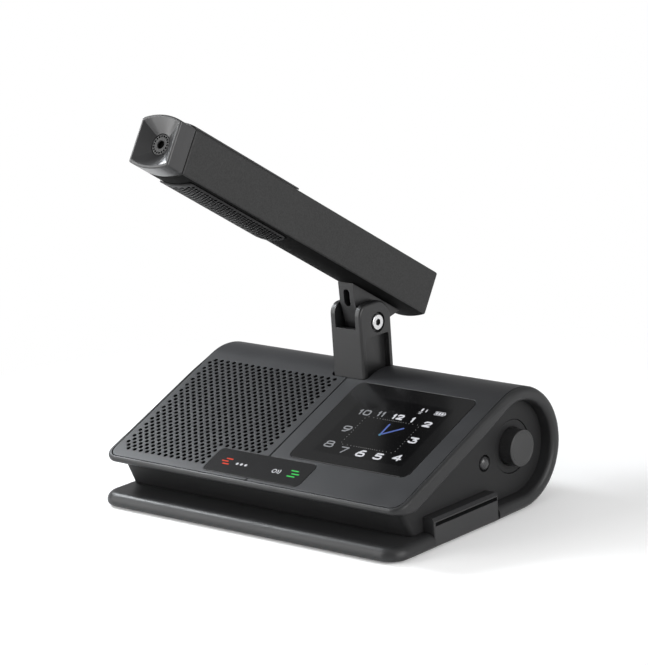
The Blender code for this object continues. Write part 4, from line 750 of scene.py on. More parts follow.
def band_depth(place, out):
    """Thickness of the band straight in from a place on its outer face."""
    start, run = Vector((place.y, place.z)), -Vector((out.y, out.z))
    hits = []
    for first, second in zip(INNER_LINE, INNER_LINE[1:]):
        side, reach = second - first, first - start
        cross = run.x * side.y - run.y * side.x
        if cross:
            way = (reach.x * side.y - reach.y * side.x) / cross
            share = (reach.x * run.y - reach.y * run.x) / cross
            if way > MM and -0.001 <= share <= 1.001:
                hits.append(way)
    return min(hits)


def rim_section(edge, outward, out, round_out, round_in, depth=None):
    """The band's rim at one place of its edge: over the outer rounding, down the side and round to the inner face."""
    spots = []
    for step in range(RIM_STEPS + 1):
        turn = QUARTER * step / RIM_STEPS
        spots.append(edge - outward * round_out * (1 - math.sin(turn)) - out * round_out * (1 - math.cos(turn)))
    for step in range(RIM_STEPS + 1):
        turn = QUARTER * (1 - step / RIM_STEPS)
        place = edge - outward * round_in * (1 - math.sin(turn))
        spots.append(place - out * ((depth or band_depth(place, out)) - round_in * (1 - math.cos(turn))))
    return spots


def soft_step(value, start, end):
    share = min(max((value - start) / (end - start), 0), 1)
    return share * share * (3 - 2 * share)


def slope_of(point):
    """How far up the sloping top a (depth, height) point lies."""
    return point[0] * math.cos(TOP_SLOPE) + (point[1] - PLANE_HEIGHT) * math.sin(TOP_SLOPE)


def rim_stations():
    """Places along the right-hand rim from the middle of the lip over the rear to the base's front edge."""
    half = HOUSING_WIDTH / 2
    lip = LIP_FRONT / math.cos(TOP_SLOPE)
    nose, flank = RIM_ROUND * NOSE_ROUND_SHARE, RIM_ROUND * SLOPE_ROUND_SHARE
    rear_in = RIM_ROUND * INNER_ROUND_SHARE
    stations = []
    centre = ON_SLOPE @ Vector((half - LIP_CORNER_RADIUS, lip + LIP_CORNER_RADIUS, 0))
    for step in range(CORNER_STEPS + 1):
        turn = QUARTER * (1 - step / CORNER_STEPS)
        outward = ACROSS * math.cos(turn) - SLOPE_UP * math.sin(turn)
        stations.append((centre + outward * LIP_CORNER_RADIUS, outward, SLOPE_OUT, nose, nose))
    kink = (CEILING_DEPTH, lip_corners()[1][1])
    tangent = arc(INNER_RADIUS, tangent_turn(kink, INNER_RADIUS), 0, 1)[0]
    low, count = lip + LIP_CORNER_RADIUS, 20
    slopes = [low + (SLOPE_END - low) * step / count for step in range(1, count + 1)]
    for slope in sorted(slopes + [slope_of(kink), slope_of(tangent)]):
        rear = soft_step(slope, SLOPE_END - RIM_BLEND, SLOPE_END)
        outer = nose + (flank - nose) * soft_step(slope, low, low + RIM_BLEND) + (RIM_ROUND - flank) * rear
        stations.append((ON_SLOPE @ Vector((half, slope, 0)), ACROSS, SLOPE_OUT, outer, nose + (rear_in - nose) * rear))
    for step in range(1, ARC_STEPS + 1):
        turn = QUARTER + TOP_SLOPE - (PI + TOP_SLOPE) * step / ARC_STEPS
        out = Vector((0, math.cos(turn), math.sin(turn)))
        place = Vector((half, back(REAR_DEPTH), REAR_HEIGHT)) + out * REAR_RADIUS
        stations.append((place, ACROSS, out, RIM_ROUND, rear_in, BAND_THICKNESS))
    down = Vector((0, 0, -1))
    for step in range(1, 13):
        depth = REAR_DEPTH + (BASE_CORNER_RADIUS - REAR_DEPTH) * step / 12
        share = soft_step(REAR_DEPTH - depth, 0, RIM_BLEND * 2)
        outer, inner = RIM_ROUND + (BASE_ROUND[0] - RIM_ROUND) * share, rear_in + (BASE_ROUND[1] - rear_in) * share
        place = Vector((half, back(depth), MAT_PROUD))
        stations.append((place, ACROSS, down, outer, inner, BAND_THICKNESS))
    centre = Vector((half - BASE_CORNER_RADIUS, back(BASE_CORNER_RADIUS), MAT_PROUD))
    for step in range(1, CORNER_STEPS + 1):
        turn = QUARTER * step / CORNER_STEPS
        outward = Vector((math.cos(turn), -math.sin(turn), 0))
        stations.append((centre + outward * BASE_CORNER_RADIUS, outward, down, *BASE_ROUND, BAND_THICKNESS))
    return stations


def build_shell():
    """The C-shaped band with its rounded rim, drawn as one skin over the rim sections of both sides."""
    shape = bmesh.new()
    right = [[shape.verts.new(spot) for spot in rim_section(*station)] for station in rim_stations()]
    left = [[shape.verts.new((-spot.co.x, spot.co.y, spot.co.z)) for spot in row] for row in right]
    for rows in (right, left):
        for near, far in zip(rows, rows[1:]):
            for corners in zip(near, near[1:], far[1:], far):
                shape.faces.new(corners)
    for number in (0, -1):
        for corners in zip(right[number], right[number][1:], left[number][1:], left[number]):
            shape.faces.new(corners)
    for number in (0, -1):
        for near, far in zip(zip(right, left), zip(right[1:], left[1:])):
            shape.faces.new((near[0][number], near[1][number], far[1][number], far[0][number]))
    return from_bmesh("shell", shape)


def panel_outline(skin, lift):
    """Side profile of the curved top panels, from the front groove over the rear arc."""
    start = PANEL_FRONT * math.cos(TOP_SLOPE)
    out = Vector((-math.sin(TOP_SLOPE), math.cos(TOP_SLOPE)))
    front = Vector((start, top_height(start)))
    above = [tuple(front + out * lift)] + arc(REAR_RADIUS + lift, QUARTER + TOP_SLOPE, PANEL_END_ANGLE, ARC_STEPS)
    below = [tuple(front - out * skin)] + arc(REAR_RADIUS - skin, QUARTER + TOP_SLOPE, PANEL_END_ANGLE, ARC_STEPS)
    return above + below[::-1]


def panel_pocket(edge):
    points = shifted(panel_outline(PANEL_THICKNESS + GAP, PANEL_THICKNESS))
    pocket = outline_solid("panel_pocket", points, -edge - GAP, edge + GAP, SIDEWAYS)
    move = GAP * math.cos(TOP_SLOPE)
    front = back(PANEL_FRONT)
    shape = to_bmesh(pocket)
    for spot in shape.verts:
        if spot.co.y < front + PANEL_THICKNESS * 2:
            spot.co.y -= move
            spot.co.z -= GAP * math.sin(TOP_SLOPE)
    store(pocket, shape)

    def pocket_corner(edge):
        return middle_of(edge).y < front + PANEL_THICKNESS * 2 and not along(edge, 0) \
            and edge.calc_length() < PANEL_THICKNESS * 3

    return round_edges(pocket, pocket_corner, PANEL_CORNER_RADIUS + GAP, CORNER_STEPS)


def post_hole():
    hole_x = POST_WIDTH / 2 + POST_HOLE_MARGIN[0]
    hole_y = (back(POST_DEPTH[0] - POST_HOLE_MARGIN[1]), back(POST_DEPTH[1] + POST_HOLE_MARGIN[1]))
    points = rounded_rectangle((-hole_x, hole_x), hole_y, POST_HOLE_CORNER)
    return outline_solid("post_hole", points, REAR_HEIGHT, HOUSING_HEIGHT * 1.2)


def wrapped(place):
    """A spot drawn on the flat skin (across, up the slope, out), laid on the slope and over the rear arc."""
    across, slope, out = place
    if slope <= SLOPE_END:
        return ON_SLOPE @ Vector(place)
    turn = QUARTER + TOP_SLOPE - (slope - SLOPE_END) / REAR_RADIUS
    reach = REAR_RADIUS + out
    return Vector((across, back(REAR_DEPTH + reach * math.cos(turn)), REAR_HEIGHT + reach * math.sin(turn)))


def skin(name, x, round_left, holes):
    """One of the two top skins: drawn flat with its holes, edges eased, then bent over the rear."""
    radius = PANEL_CORNER_RADIUS
    length = (PANEL_FRONT + SKIN_ROOM, PANEL_LENGTH)
    corner_x = x[0] if round_left else x[1]
    sign = 1 if round_left else -1
    points = []
    for step in range(CORNER_STEPS + 1):
        turn = QUARTER * step / CORNER_STEPS
        points.append((corner_x + sign * radius * (1 - math.cos(turn)), length[0] + radius * (1 - math.sin(turn))))
    far_x = x[1] if round_left else x[0]
    points += [(far_x, length[0]), (far_x, length[1]), (corner_x, length[1])]
    flat = outline_solid(name, points, -PANEL_THICKNESS, 0, holes=holes, tidy=False)
    shape = to_bmesh(flat)
    shape.normal_update()
    rim = [edge for edge in shape.edges if edge.calc_face_angle(0) > 1
           and all(abs(spot.co.z) < MM / 1000 for spot in edge.verts)]
    bmesh.ops.bevel(shape, geom=rim, offset=PANEL_EDGE, segments=2, profile=0.5, affect="EDGES")
    count = ARC_STEPS
    for step in range(count):
        place = SLOPE_END + (PANEL_LENGTH - SLOPE_END) * step / count
        everything = shape.verts[:] + shape.edges[:] + shape.faces[:]
        bmesh.ops.bisect_plane(shape, geom=everything, plane_co=(0, place, 0), plane_no=(0, 1, 0))
    for spot in shape.verts:
        spot.co = wrapped(spot.co)
    return store(flat, shape)


def grille_holes():
    """Centres of the loudspeaker perforation on the left skin, without the corner one and those by the touch bar."""
    centres = []
    touch_x, touch_s = TOUCH_X[0] - HOLE_TOUCH_ROOM, TOUCH_SLOPE[1] + HOLE_TOUCH_ROOM
    for row in range(HOLE_ROWS):
        slope = HOLE_START_S + HOLE_PITCH_S * row
        for column in range(HOLE_COLUMNS):
            across = HOLE_START_X + HOLE_PITCH_X * (column + (0.5 if row % 2 else 0))
            if (row or column) and (across < touch_x or slope > touch_s):
                centres.append((across, slope))
    return centres


def window(name, x, slope, radius):
    """Cutter for a window in the skins, with a small chamfer round its upper edge."""
    layers = [(-PANEL_THICKNESS * 2, 0), (-WINDOW_CHAMFER, 0), (0, -WINDOW_CHAMFER),
              (PANEL_THICKNESS, -WINDOW_CHAMFER - PANEL_THICKNESS)]
    return plate(name, grown(x, GAP / 2), grown(slope, GAP / 2), radius + GAP / 2, layers, ON_SLOPE)


def build_housing():
    edge = HOUSING_WIDTH / 2 - PANEL_INSET
    shell = carve(build_shell(), panel_pocket(edge), post_hole())
    face = HOUSING_WIDTH / 2 - READER_FACE_INSET
    inner = face - READER_BLOCK_WIDTH
    around = grown((back(READER_DEPTH[0]), back(READER_DEPTH[1])), GAP)
    carve(shell, box("reader_notch", (inner - GAP, face * 2), around, (0, BASE_TOP * 1.5)))
    half_x, half_y = MAT_SIZE[0] / 2 + GAP, MAT_SIZE[1] / 2 + GAP
    mat_room = rounded_rectangle((-half_x, half_x), (-half_y, half_y), MAT_CORNER_RADIUS + GAP)
    carve(shell, outline_solid("mat_recess", mat_room, 0, MAT_THICKNESS + GAP))
    door_room = rounded_rectangle(grown(DOOR_X, GAP), grown(DOOR_Y, GAP), DOOR_LEDGE)
    door_top = MAT_PROUD + DOOR_THICKNESS + GAP * 3
    carve(shell, outline_solid("door_pocket", door_room, 0, door_top),
          box("battery_bay", grown(DOOR_X, -DOOR_LEDGE), grown(DOOR_Y, -DOOR_LEDGE), (0, BASE_TOP + MM)))
    seat = MAT_PROUD + SCREW_HEAD + GAP * 2
    for side in (-1, 1):
        for depth in BASE_SCREW_DEPTHS:
            place = (side * BASE_SCREW_X, back(depth), seat)
            carve(shell, rod("screw_hole", place, (0, 0, 1), SCREW_HOLE_RADIUS, -MM, BASE_TOP, 24),
                  rod("screw_seat", place, (0, 0, -1), SCREW_HEAD_RADIUS + GAP, 0, seat + MM, 32))
    dress(shell, CHARCOAL, "housing", ("lower_shell", "rear_cover", "top_frame"))
    flat = ON_SLOPE.inverted()

    def in_the_pocket(face):
        place, way = flat @ face.center, flat.to_3x3() @ face.normal
        inside = abs(place.x) < edge + GAP * 2 and PANEL_FRONT - GAP * 2 < place.y < SLOPE_END
        inward = way.x * place.x + way.y * (place.y - SLOPE_END / 2) < 0
        return inside and (-PANEL_THICKNESS - GAP * 2 < place.z < -PANEL_THICKNESS and way.z > 0.99
                           or -PANEL_THICKNESS - GAP < place.z < -GAP and abs(way.z) < 0.1 and inward)

    # the floor and walls of the groove round the top skins are painted near-black: painted shade in the groove
    darken(shell, CLOTH_AND_SHADE_LOOK, in_the_pocket)

    holes = [circle(centre, HOLE_RADIUS, 20) for centre in grille_holes()]
    left = skin("speaker_skin", (SKIN_ROOM - edge, PANEL_SEAM_X - GAP / 2 - SKIN_ROOM), True, holes)
    right = skin("display_skin", (PANEL_SEAM_X + GAP / 2 + SKIN_ROOM, edge - SKIN_ROOM), False, [])
    carve(right, window("glass_cut", GLASS_X, GLASS_SLOPE, GLASS_CORNER_RADIUS))
    for piece in (left, right):
        carve(piece, window("touch_cut", TOUCH_X, TOUCH_SLOPE, TOUCH_CORNER_RADIUS), post_hole())
    dress(left, PANEL_LOOK, "housing", ("speaker_panel",))

    def in_a_hole(face):
        place = flat @ face.center
        return (abs(face.normal.dot(SLOPE_OUT)) < 0.3 and abs(place.z) < PANEL_THICKNESS
                and HOLE_START_X - HOLE_RADIUS * 1.1 < place.x < HOLE_START_X + HOLE_PITCH_X * HOLE_COLUMNS
                and HOLE_START_S - HOLE_RADIUS * 1.1 < place.y < HOLE_START_S + HOLE_PITCH_S * HOLE_ROWS)

    # the walls of the grille holes are painted near-black: painted shade inside the holes
    darken(left, CLOTH_AND_SHADE_LOOK, in_a_hole)
    dress(right, PANEL_LOOK, "housing", ("display_panel",))

    # a near-black sheet under the grille holes; its black stands for the shade behind them as well as the cloth
    cloth = plate("grille_cloth", (-edge + 3 * MM, PANEL_SEAM_X - 3 * MM), (PANEL_FRONT + 3 * MM, SLOPE_END - MM),
                  2 * MM, [(-PANEL_THICKNESS - 0.22 * MM, 0), (-PANEL_THICKNESS - 0.02 * MM, 0)], ON_SLOPE)
    dress(cloth, CLOTH_AND_SHADE_LOOK, "housing")

    layers = [(GLASS_PROUD - GLASS_THICKNESS, 0), (GLASS_PROUD - GLASS_CHAMFER, 0), (GLASS_PROUD, GLASS_CHAMFER)]
    glass = plate("display_cover", GLASS_X, GLASS_SLOPE, GLASS_CORNER_RADIUS, layers, ON_SLOPE)
    dress(glass, DISPLAY_LOOK, "housing", ("display_glass",))
    touch = plate("touch_cover", TOUCH_X, TOUCH_SLOPE, TOUCH_CORNER_RADIUS, layers, ON_SLOPE)
    dress(touch, TOUCH_LOOK, "housing", ("touch_glass",))


def build_core():
    core = outline_solid("recess_walls", shifted(cavity_outline(GAP)), -LEFT_WALL, RIGHT_WALL, SIDEWAYS)

    def front_corner(edge):
        lean = math.acos(abs((edge.verts[0].co - edge.verts[1].co).normalized().z))
        return middle_of(edge).y < back(WALL_FOOT_DEPTH) and abs(lean - WALL_LEAN) < math.radians(1)

    round_edges(core, front_corner, CORE_CORNER_RADIUS, CORNER_STEPS)
    foot = WALL_FOOT_DEPTH + CORE_WALL / math.cos(WALL_LEAN)
    run = math.tan(WALL_LEAN)
    low, high = 0, HOUSING_HEIGHT
    hollow_points = [(foot + BASE_TOP * run, low), (foot - (high - BASE_TOP) * run, high),
                     (HOUSING_DEPTH * 2, high), (HOUSING_DEPTH * 2, low)]
    carve(core, outline_solid("core_hollow", shifted(hollow_points), CORE_WALL - LEFT_WALL, RIGHT_WALL - CORE_WALL,
                              SIDEWAYS))
    face = HOUSING_WIDTH / 2 - READER_FACE_INSET
    around = grown((back(READER_DEPTH[0]), back(READER_DEPTH[1])), GAP)
    carve(core, box("reader_opening", (face - READER_LENGTH - GAP, face), around, (0, READER_TOP + GAP)))
    middle = (0, back(KNOB_DEPTH), KNOB_HEIGHT)
    across = (1, 0, 0)
    floor = RIGHT_WALL - BEZEL_POCKET
    carve(core, rod("bezel_pocket", middle, across, BEZEL_RADIUS + GAP, floor, RIGHT_WALL + MM))
    place = (0, back(BUTTON_DEPTH), BUTTON_HEIGHT)
    carve(core, rod("button_hole", place, across, BUTTON_HOLE_RADIUS, RIGHT_WALL - CORE_WALL * 2, RIGHT_WALL + MM))
    # the recess walls get the darker moulding as painted shade under the lip
    dress(core, DARK_WALL_AND_SHADE_LOOK, "housing", ("core_frame",))


def build_reader():
    face = HOUSING_WIDTH / 2 - READER_FACE_INSET
    inner = face - READER_BLOCK_WIDTH
    y = (back(READER_DEPTH[0]), back(READER_DEPTH[1]))
    reader = box("card_reader_block", (inner, face), y, (READER_UNDERSIDE, READER_TOP))

    def top_edge(edge):
        return middle_of(edge).x > face - MM / 10 and middle_of(edge).z > READER_TOP - MM / 10

    def outer_edge(edge):
        return middle_of(edge).x > face - MM / 10 and middle_of(edge).z < READER_TOP - READER_TOP_CHAMFER - MM / 10

    round_edges(reader, top_edge, READER_TOP_CHAMFER, 1)
    round_edges(reader, outer_edge, READER_CHAMFER, 5)
    slot_y = (back(SLOT_FRONT), back(SLOT_FRONT) + SLOT_LENGTH)
    slot = rounded_rectangle(slot_y, SLOT_HEIGHTS, 0.12 * MM, 2)
    carve(reader, outline_solid("card_slot", slot, face - READER_LENGTH, face + MM, SIDEWAYS))
    dress(reader, READER_LOOK, "housing", ("card_reader",))


def fillet(corner_radius, height, radius, steps=5, sign=1):
    """Points of a quarter round from (corner_radius, height - radius) to (corner_radius - radius, height)."""
    points = []
    for step in range(steps + 1):
        turn = QUARTER * step / steps
        points.append((corner_radius - radius * (1 - math.cos(turn)), height - sign * radius * (1 - math.sin(turn))))
    return points


def build_side_controls():
    across = (1, 0, 0)
    middle = (0, back(KNOB_DEPTH), KNOB_HEIGHT)
    floor = RIGHT_WALL - BEZEL_POCKET
    low = floor + GAP
    high = low + BEZEL_THICKNESS
    ring_inner = KNOB_RADIUS + KNOB_RING_GAP
    profile = [(ring_inner, low), (BEZEL_RADIUS, low)] + fillet(BEZEL_RADIUS, high, 0.3 * MM)
    profile += [(ring_inner + 0.9 * MM, high), (ring_inner, high - 0.35 * MM)]
    dress(turned("knob_ring", profile, middle, across, 96), DARK_WALL_AND_SHADE_LOOK, "housing", ("knob_bezel",))

    face = RIGHT_WALL + KNOB_REACH
    knob_back = RIGHT_WALL - KNOB_SUNK
    groove = 1.35 * MM
    profile = [(0, knob_back), (KNOB_RADIUS, knob_back)] + fillet(KNOB_RADIUS, face, 0.55 * MM)
    inner = KNOB_RADIUS - groove
    profile += [(inner, face), (inner - 0.12 * MM, face - 0.12 * MM), (inner - 0.30 * MM, face - 0.12 * MM),
                (inner - 0.42 * MM, face - 0.02 * MM), (inner * 0.5, face - 0.10 * MM), (0, face - 0.14 * MM)]
    knob = turned("knob_cap", profile, middle, across, 120)
    dress(knob, KNOB_LOOK, "knob", ("volume_knob",))

    place = (0, back(BUTTON_DEPTH), BUTTON_HEIGHT)
    inside = RIGHT_WALL - CORE_WALL - GAP
    dome = RIGHT_WALL + BUTTON_REACH
    shoulder = dome - BUTTON_DOME
    profile = [(0, inside - BUTTON_FLANGE), (BUTTON_FLANGE_RADIUS, inside - BUTTON_FLANGE),
               (BUTTON_FLANGE_RADIUS, inside), (BUTTON_RADIUS, inside), (BUTTON_RADIUS, shoulder)]
    for step in range(1, 12):
        turn = QUARTER * step / 12
        profile.append((BUTTON_RADIUS * math.cos(turn), shoulder + BUTTON_DOME * math.sin(turn)))
    profile.append((0, dome))
    dress(turned("button_dome", profile, place, across), BUTTON_LOOK, "button", ("side_button",))


def build_post():
    half = POST_WIDTH / 2
    pivot_y = back(PIVOT[0])
    ear = back(POST_DEPTH[1]) - pivot_y
    front, rear = back(POST_DEPTH[0]), back(POST_DEPTH[1])
    points = [(rear, POST_FOOT), (rear, PIVOT[1])]
    for step in range(1, 25):
        turn = QUARTER * step / 24
        points.append((pivot_y + ear * math.cos(turn), PIVOT[1] + (POST_TOP - PIVOT[1]) * math.sin(turn)))
    corner = (front + POST_FRONT_CORNER, POST_TOP - POST_FRONT_CORNER)
    for step in range(13):
        turn = QUARTER * (1 + step / 12)
        points.append((corner[0] + POST_FRONT_CORNER * math.cos(turn),
                       corner[1] + POST_FRONT_CORNER * math.sin(turn)))
    points.append((front, POST_FOOT))
    post = outline_solid("post_fork", points, -half, half, SIDEWAYS)
    round_edges(post, lambda edge: not along(edge, 0) and edge.calc_face_angle(0) > 1, POST_EDGE, 5)
    join(post, box("post_flange", (-FLANGE_X, FLANGE_X), (back(FLANGE_DEPTH[0]), back(FLANGE_DEPTH[1])),
                   (POST_FOOT, POST_FOOT + FLANGE_THICKNESS)))
    gap = FORK_GAP / 2
    fork = [(front - MM, FORK_FLOOR), (front + FORK_LIP, FORK_FLOOR)]
    for step in range(25):
        turn = FORK_SWEEP_START + (FORK_SWEEP_END - FORK_SWEEP_START) * step / 24
        fork.append((pivot_y + FORK_SWEEP * math.cos(turn), PIVOT[1] + FORK_SWEEP * math.sin(turn)))
    fork += [(rear + MM, FORK_FLOOR_BACK), (rear + MM, POST_TOP * 1.1), (front - MM, POST_TOP * 1.1)]
    carve(post, outline_solid("fork", fork, -gap, gap, SIDEWAYS))
    pocket_y = (back(POCKET_Y[0]), back(POCKET_Y[1]))
    pocket = rounded_rectangle(pocket_y, POCKET_HEIGHTS, POST_EDGE)
    for side in (-1, 1):
        across = sorted((side * (half - POCKET_DEPTH), side * half * 2))
        carve(post, outline_solid("post_pocket", pocket, across[0], across[1], SIDEWAYS))
    pivot = (0, pivot_y, PIVOT[1])
    sideways = (1, 0, 0)
    seat = half - COUNTERBORE_DEPTH
    carve(post, rod("pivot_hole", pivot, sideways, PIVOT_HOLE_RADIUS, -half * 2, half * 2),
          rod("head_counterbore", pivot, sideways, COUNTERBORE_RADIUS, seat, half * 2),
          rod("nut_counterbore", pivot, sideways, COUNTERBORE_RADIUS, -half * 2, -seat))
    dress(post, POST_LOOK, "housing", ("clevis_post",))

    low = seat + GAP
    high = low + PIVOT_HEAD_LENGTH
    profile = [(0, -seat - GAP - NUT_LENGTH), (PIVOT_SHANK_RADIUS, -seat - GAP - NUT_LENGTH), (PIVOT_SHANK_RADIUS, low),
               (PIVOT_HEAD_RADIUS, low)] + fillet(PIVOT_HEAD_RADIUS, high, 0.5 * MM)
    profile += [(PIVOT_SOCKET_RADIUS * 1.12, high), (0, high)]
    screw = turned("pivot_bolt", profile, pivot, sideways, 72)
    socket = rod("hex_socket", pivot, sideways, PIVOT_SOCKET_RADIUS, high - PIVOT_SOCKET_DEPTH, high + MM, 6)
    carve(screw, socket)
    dress(screw, STEEL_LOOK, "housing", ("pivot_screw",))
    # the hex socket's faces are painted dark: painted shade inside the socket
    darken(screw, SOCKET_SHADE_LOOK, lambda face: math.hypot(face.center.y - pivot_y, face.center.z - PIVOT[1])
           < PIVOT_SOCKET_RADIUS and high - PIVOT_SOCKET_DEPTH * 1.1 < face.center.x < high - MM / 100)
    high = -seat - GAP
    nut = turned("pivot_locknut", [(PIVOT_SHANK_RADIUS + GAP, high - NUT_LENGTH), (NUT_RADIUS - 0.3 * MM, high - NUT_LENGTH),
                                   (NUT_RADIUS, high - NUT_LENGTH + 0.3 * MM), (NUT_RADIUS, high),
                                   (PIVOT_SHANK_RADIUS + GAP, high)], pivot, sideways, 6)
    dress(nut, STEEL_LOOK, "housing", ("pivot_nut",))


# the arm, drawn with X across, -Y forward and Z above the pivot, then put on its tilt

def place_on_arm(thing):
    thing.data.transform(ON_ARM)
    return thing


def arm_outline(points):
    return [(-forward, above) for forward, above in points]


def tangent_from(place, radius, side):
    span = math.hypot(*place)
    return math.atan2(place[1], place[0]) + side * math.acos(radius / span)


def build_knuckle():
    half = KNUCKLE_WIDTH / 2
    first = tangent_from(KNUCKLE_FRONT_LOW, HUB_RADIUS, -1)
    last = tangent_from(KNUCKLE_REAR_LOW, HUB_RADIUS, 1) - 2 * PI
    points = [KNUCKLE_FRONT_TOP, KNUCKLE_FRONT_LOW]
    for step in range(41):
        turn = first + (last - first) * step / 40
        points.append((HUB_RADIUS * math.cos(turn), HUB_RADIUS * math.sin(turn)))
    points += [KNUCKLE_REAR_LOW, KNUCKLE_REAR_TIP]
    knuckle = outline_solid("hinge_block", arm_outline(points), -half, half, SIDEWAYS)

    def front_edge(edge):
        middle = middle_of(edge)
        return not along(edge, 0) and edge.calc_face_angle(0) > 1 and middle.y < 0 and middle.z < BEAM_UNDER * 0.8

    round_edges(knuckle, front_edge, 2.4 * MM, 8)
    upright = Matrix.Rotation(ARM_TILT, 4, "X") @ Matrix.Translation((0, -back(PIVOT[0]), -PIVOT[1]))
    wide = CABLE_SLOT_WIDTH / 2
    front = back(POST_DEPTH[0])
    outline = rounded_rectangle((-wide, wide), CABLE_SLOT_HEIGHTS, wide * 0.98)
    slot = outline_solid("cable_slot", outline, -front - KNUCKLE_WIDTH, -front + MM, upright @ LENGTHWISE)
    carve(knuckle, slot)
    dress(place_on_arm(knuckle), POST_LOOK, "arm", ("knuckle",))


def beam_section(shrink=0.0, corner=0.0, crown_steps=16):
    """Arm cross-section as (across, above): flat sides and crowned top and bottom."""
    half = BEAM_WIDTH / 2
    radius = (half ** 2 + BEAM_CROWN ** 2) / (2 * BEAM_CROWN)
    spread = math.asin(half / radius)
    low, high = BEAM_UNDER, BEAM_UNDER + BEAM_FLAT_HEIGHT
    points = []
    for step in range(crown_steps + 1):
        turn = spread * (1 - 2 * step / crown_steps)
        points.append((radius * math.sin(turn), high + BEAM_CROWN - radius + radius * math.cos(turn)))
    for step in range(crown_steps + 1):
        turn = spread * (2 * step / crown_steps - 1)
        points.append((radius * math.sin(turn), low - BEAM_CROWN + radius - radius * math.cos(turn)))
    return points


def strip_section(side, room=0.0, steps=24):
    half = BEAM_WIDTH / 2
    radius = (half ** 2 + BEAM_CROWN ** 2) / (2 * BEAM_CROWN)
    spread = math.asin((STRIP_WIDTH / 2 + room) / radius)
    middle = BEAM_UNDER + BEAM_FLAT_HEIGHT / 2
    centre = BEAM_FLAT_HEIGHT / 2 + BEAM_CROWN - radius
    outer, inner = radius + STRIP_PROUD + room, radius + STRIP_PROUD - STRIP_THICKNESS - room
    turns = [spread * (1 - 2 * step / steps) for step in range(steps + 1)]
    above = [(outer * math.sin(turn), middle + side * (centre + outer * math.cos(turn))) for turn in turns]
    below = [(inner * math.sin(turn), middle + side * (centre + inner * math.cos(turn))) for turn in turns]
    return above + below[::-1]


SNAP = 0.01 * MM


def build_strip(name, side, span, node_name):
    """A perforated strip: drawn flat with its holes, then bent to the crown."""
    half = STRIP_WIDTH / 2
    pitch = STRIP_HOLE_PITCH
    rows = STRIP_ROWS
    rise = (half - STRIP_MARGIN) / rows
    holes = []
    for row in range(-rows, rows + 1):
        start = span[0] + 2.6 * MM + (pitch / 2 if row % 2 else 0)
        count = int((span[1] - 2.2 * MM - start) / pitch)
        for number in range(count + 1):
            holes.append(circle((row * rise, start + number * pitch), STRIP_HOLE_RADIUS, 14))
    outline = rounded_rectangle((-half, half), span, STRIP_CORNER, 8)
    flat = outline_solid(name, outline, -STRIP_THICKNESS / 2, 0, holes=holes, tidy=False)
    shape = to_bmesh(flat)
    shape.normal_update()
    rim = [edge for edge in shape.edges if edge.calc_face_angle(0) > 1
           and all(abs(spot.co.z) < MM / 1000 for spot in edge.verts)]
    pierced = {(round(x / SNAP), round(y / SNAP)) for hole in holes for x, y in hole}
    outer_rim = [edge for edge in rim
                 if (round(edge.verts[0].co.x / SNAP), round(edge.verts[0].co.y / SNAP)) not in pierced]
    bmesh.ops.bevel(shape, geom=outer_rim, offset=0.4 * MM, segments=4, profile=0.5, affect="EDGES")
    for count in range(-11, 12):
        everything = shape.verts[:] + shape.edges[:] + shape.faces[:]
        bmesh.ops.bisect_plane(shape, geom=everything, plane_co=(count * half / 12, 0, 0), plane_no=(1, 0, 0))
    beam_half = BEAM_WIDTH / 2
    radius = (beam_half ** 2 + BEAM_CROWN ** 2) / (2 * BEAM_CROWN)
    middle_height = BEAM_UNDER + BEAM_FLAT_HEIGHT / 2
    centre = BEAM_FLAT_HEIGHT / 2 + BEAM_CROWN - radius
    for spot in shape.verts:
        turn = spot.co.x / radius
        reach = radius + STRIP_PROUD + spot.co.z
        spot.co = Vector((reach * math.sin(turn), -spot.co.y, middle_height + side * (centre + reach * math.cos(turn))))
    strip = store(flat, shape)
    # the walls of the strip's holes are painted near-black below: painted shade inside the holes
    walls = {face.index for face in strip.data.polygons
             if abs(face.normal.z) < 0.5
             and abs(face.center.x) < half - STRIP_MARGIN / 2
             and span[0] + MM < -face.center.y < span[1] - MM}
    dress(place_on_arm(strip), STRIP_LOOK if side > 0 else STRIP_UNDERSIDE_SHADE_LOOK, "arm", (node_name,))
    darken(strip, CLOTH_AND_SHADE_LOOK, lambda face: face.index in walls)
    # a near-black sheet under the strip, painted shade seen through its holes
    under = outline_solid(name + "_cloth", strip_section(side, -0.8 * MM), span[0] + 0.8 * MM, span[1] - 0.8 * MM,
                          LENGTHWISE)
    for spot in under.data.vertices:
        spot.co.z -= side * STRIP_THICKNESS * 0.35
    dress(place_on_arm(under), CLOTH_AND_SHADE_LOOK, "arm")


def funnel_rim(steps):
    half = BEAM_WIDTH / 2 - FUNNEL_RIM
    radius = (half ** 2 + BEAM_CROWN ** 2) / (2 * BEAM_CROWN)
    spread = math.asin(half / radius)
    flat = BEAM_FLAT_HEIGHT / 2 - FUNNEL_RIM
    rim = []
    for step in range(steps):
        turn = spread * (1 - 2 * step / steps)
        rim.append((radius * math.sin(turn), flat + BEAM_CROWN - radius + radius * math.cos(turn)))
    rim += [(-half, flat - 2 * flat * step / steps) for step in range(steps)]
    for step in range(steps):
        turn = spread * (2 * step / steps - 1)
        rim.append((radius * math.sin(turn), radius - flat - BEAM_CROWN - radius * math.cos(turn)))
    rim += [(half, 2 * flat * step / steps - flat) for step in range(steps)]
    return rim


def build_funnel(middle_height, throat):
    rim = funnel_rim(12)
    count = len(rim)
    rings = []
    for forward, share in ((BEAM_FRONT + MM, 0.0), (BEAM_FRONT, 0.0), (throat, 1.0)):
        ring = []
        for number, (across, above) in enumerate(rim):
            turn = QUARTER / 2 + 2 * PI * number / count
            near = (DISC_RADIUS * math.cos(turn), DISC_RADIUS * math.sin(turn))
            ring.append((across + (near[0] - across) * share, -forward, middle_height + above + (near[1] - above) * share))
        rings.append(ring)
    return loft("funnel", rings)


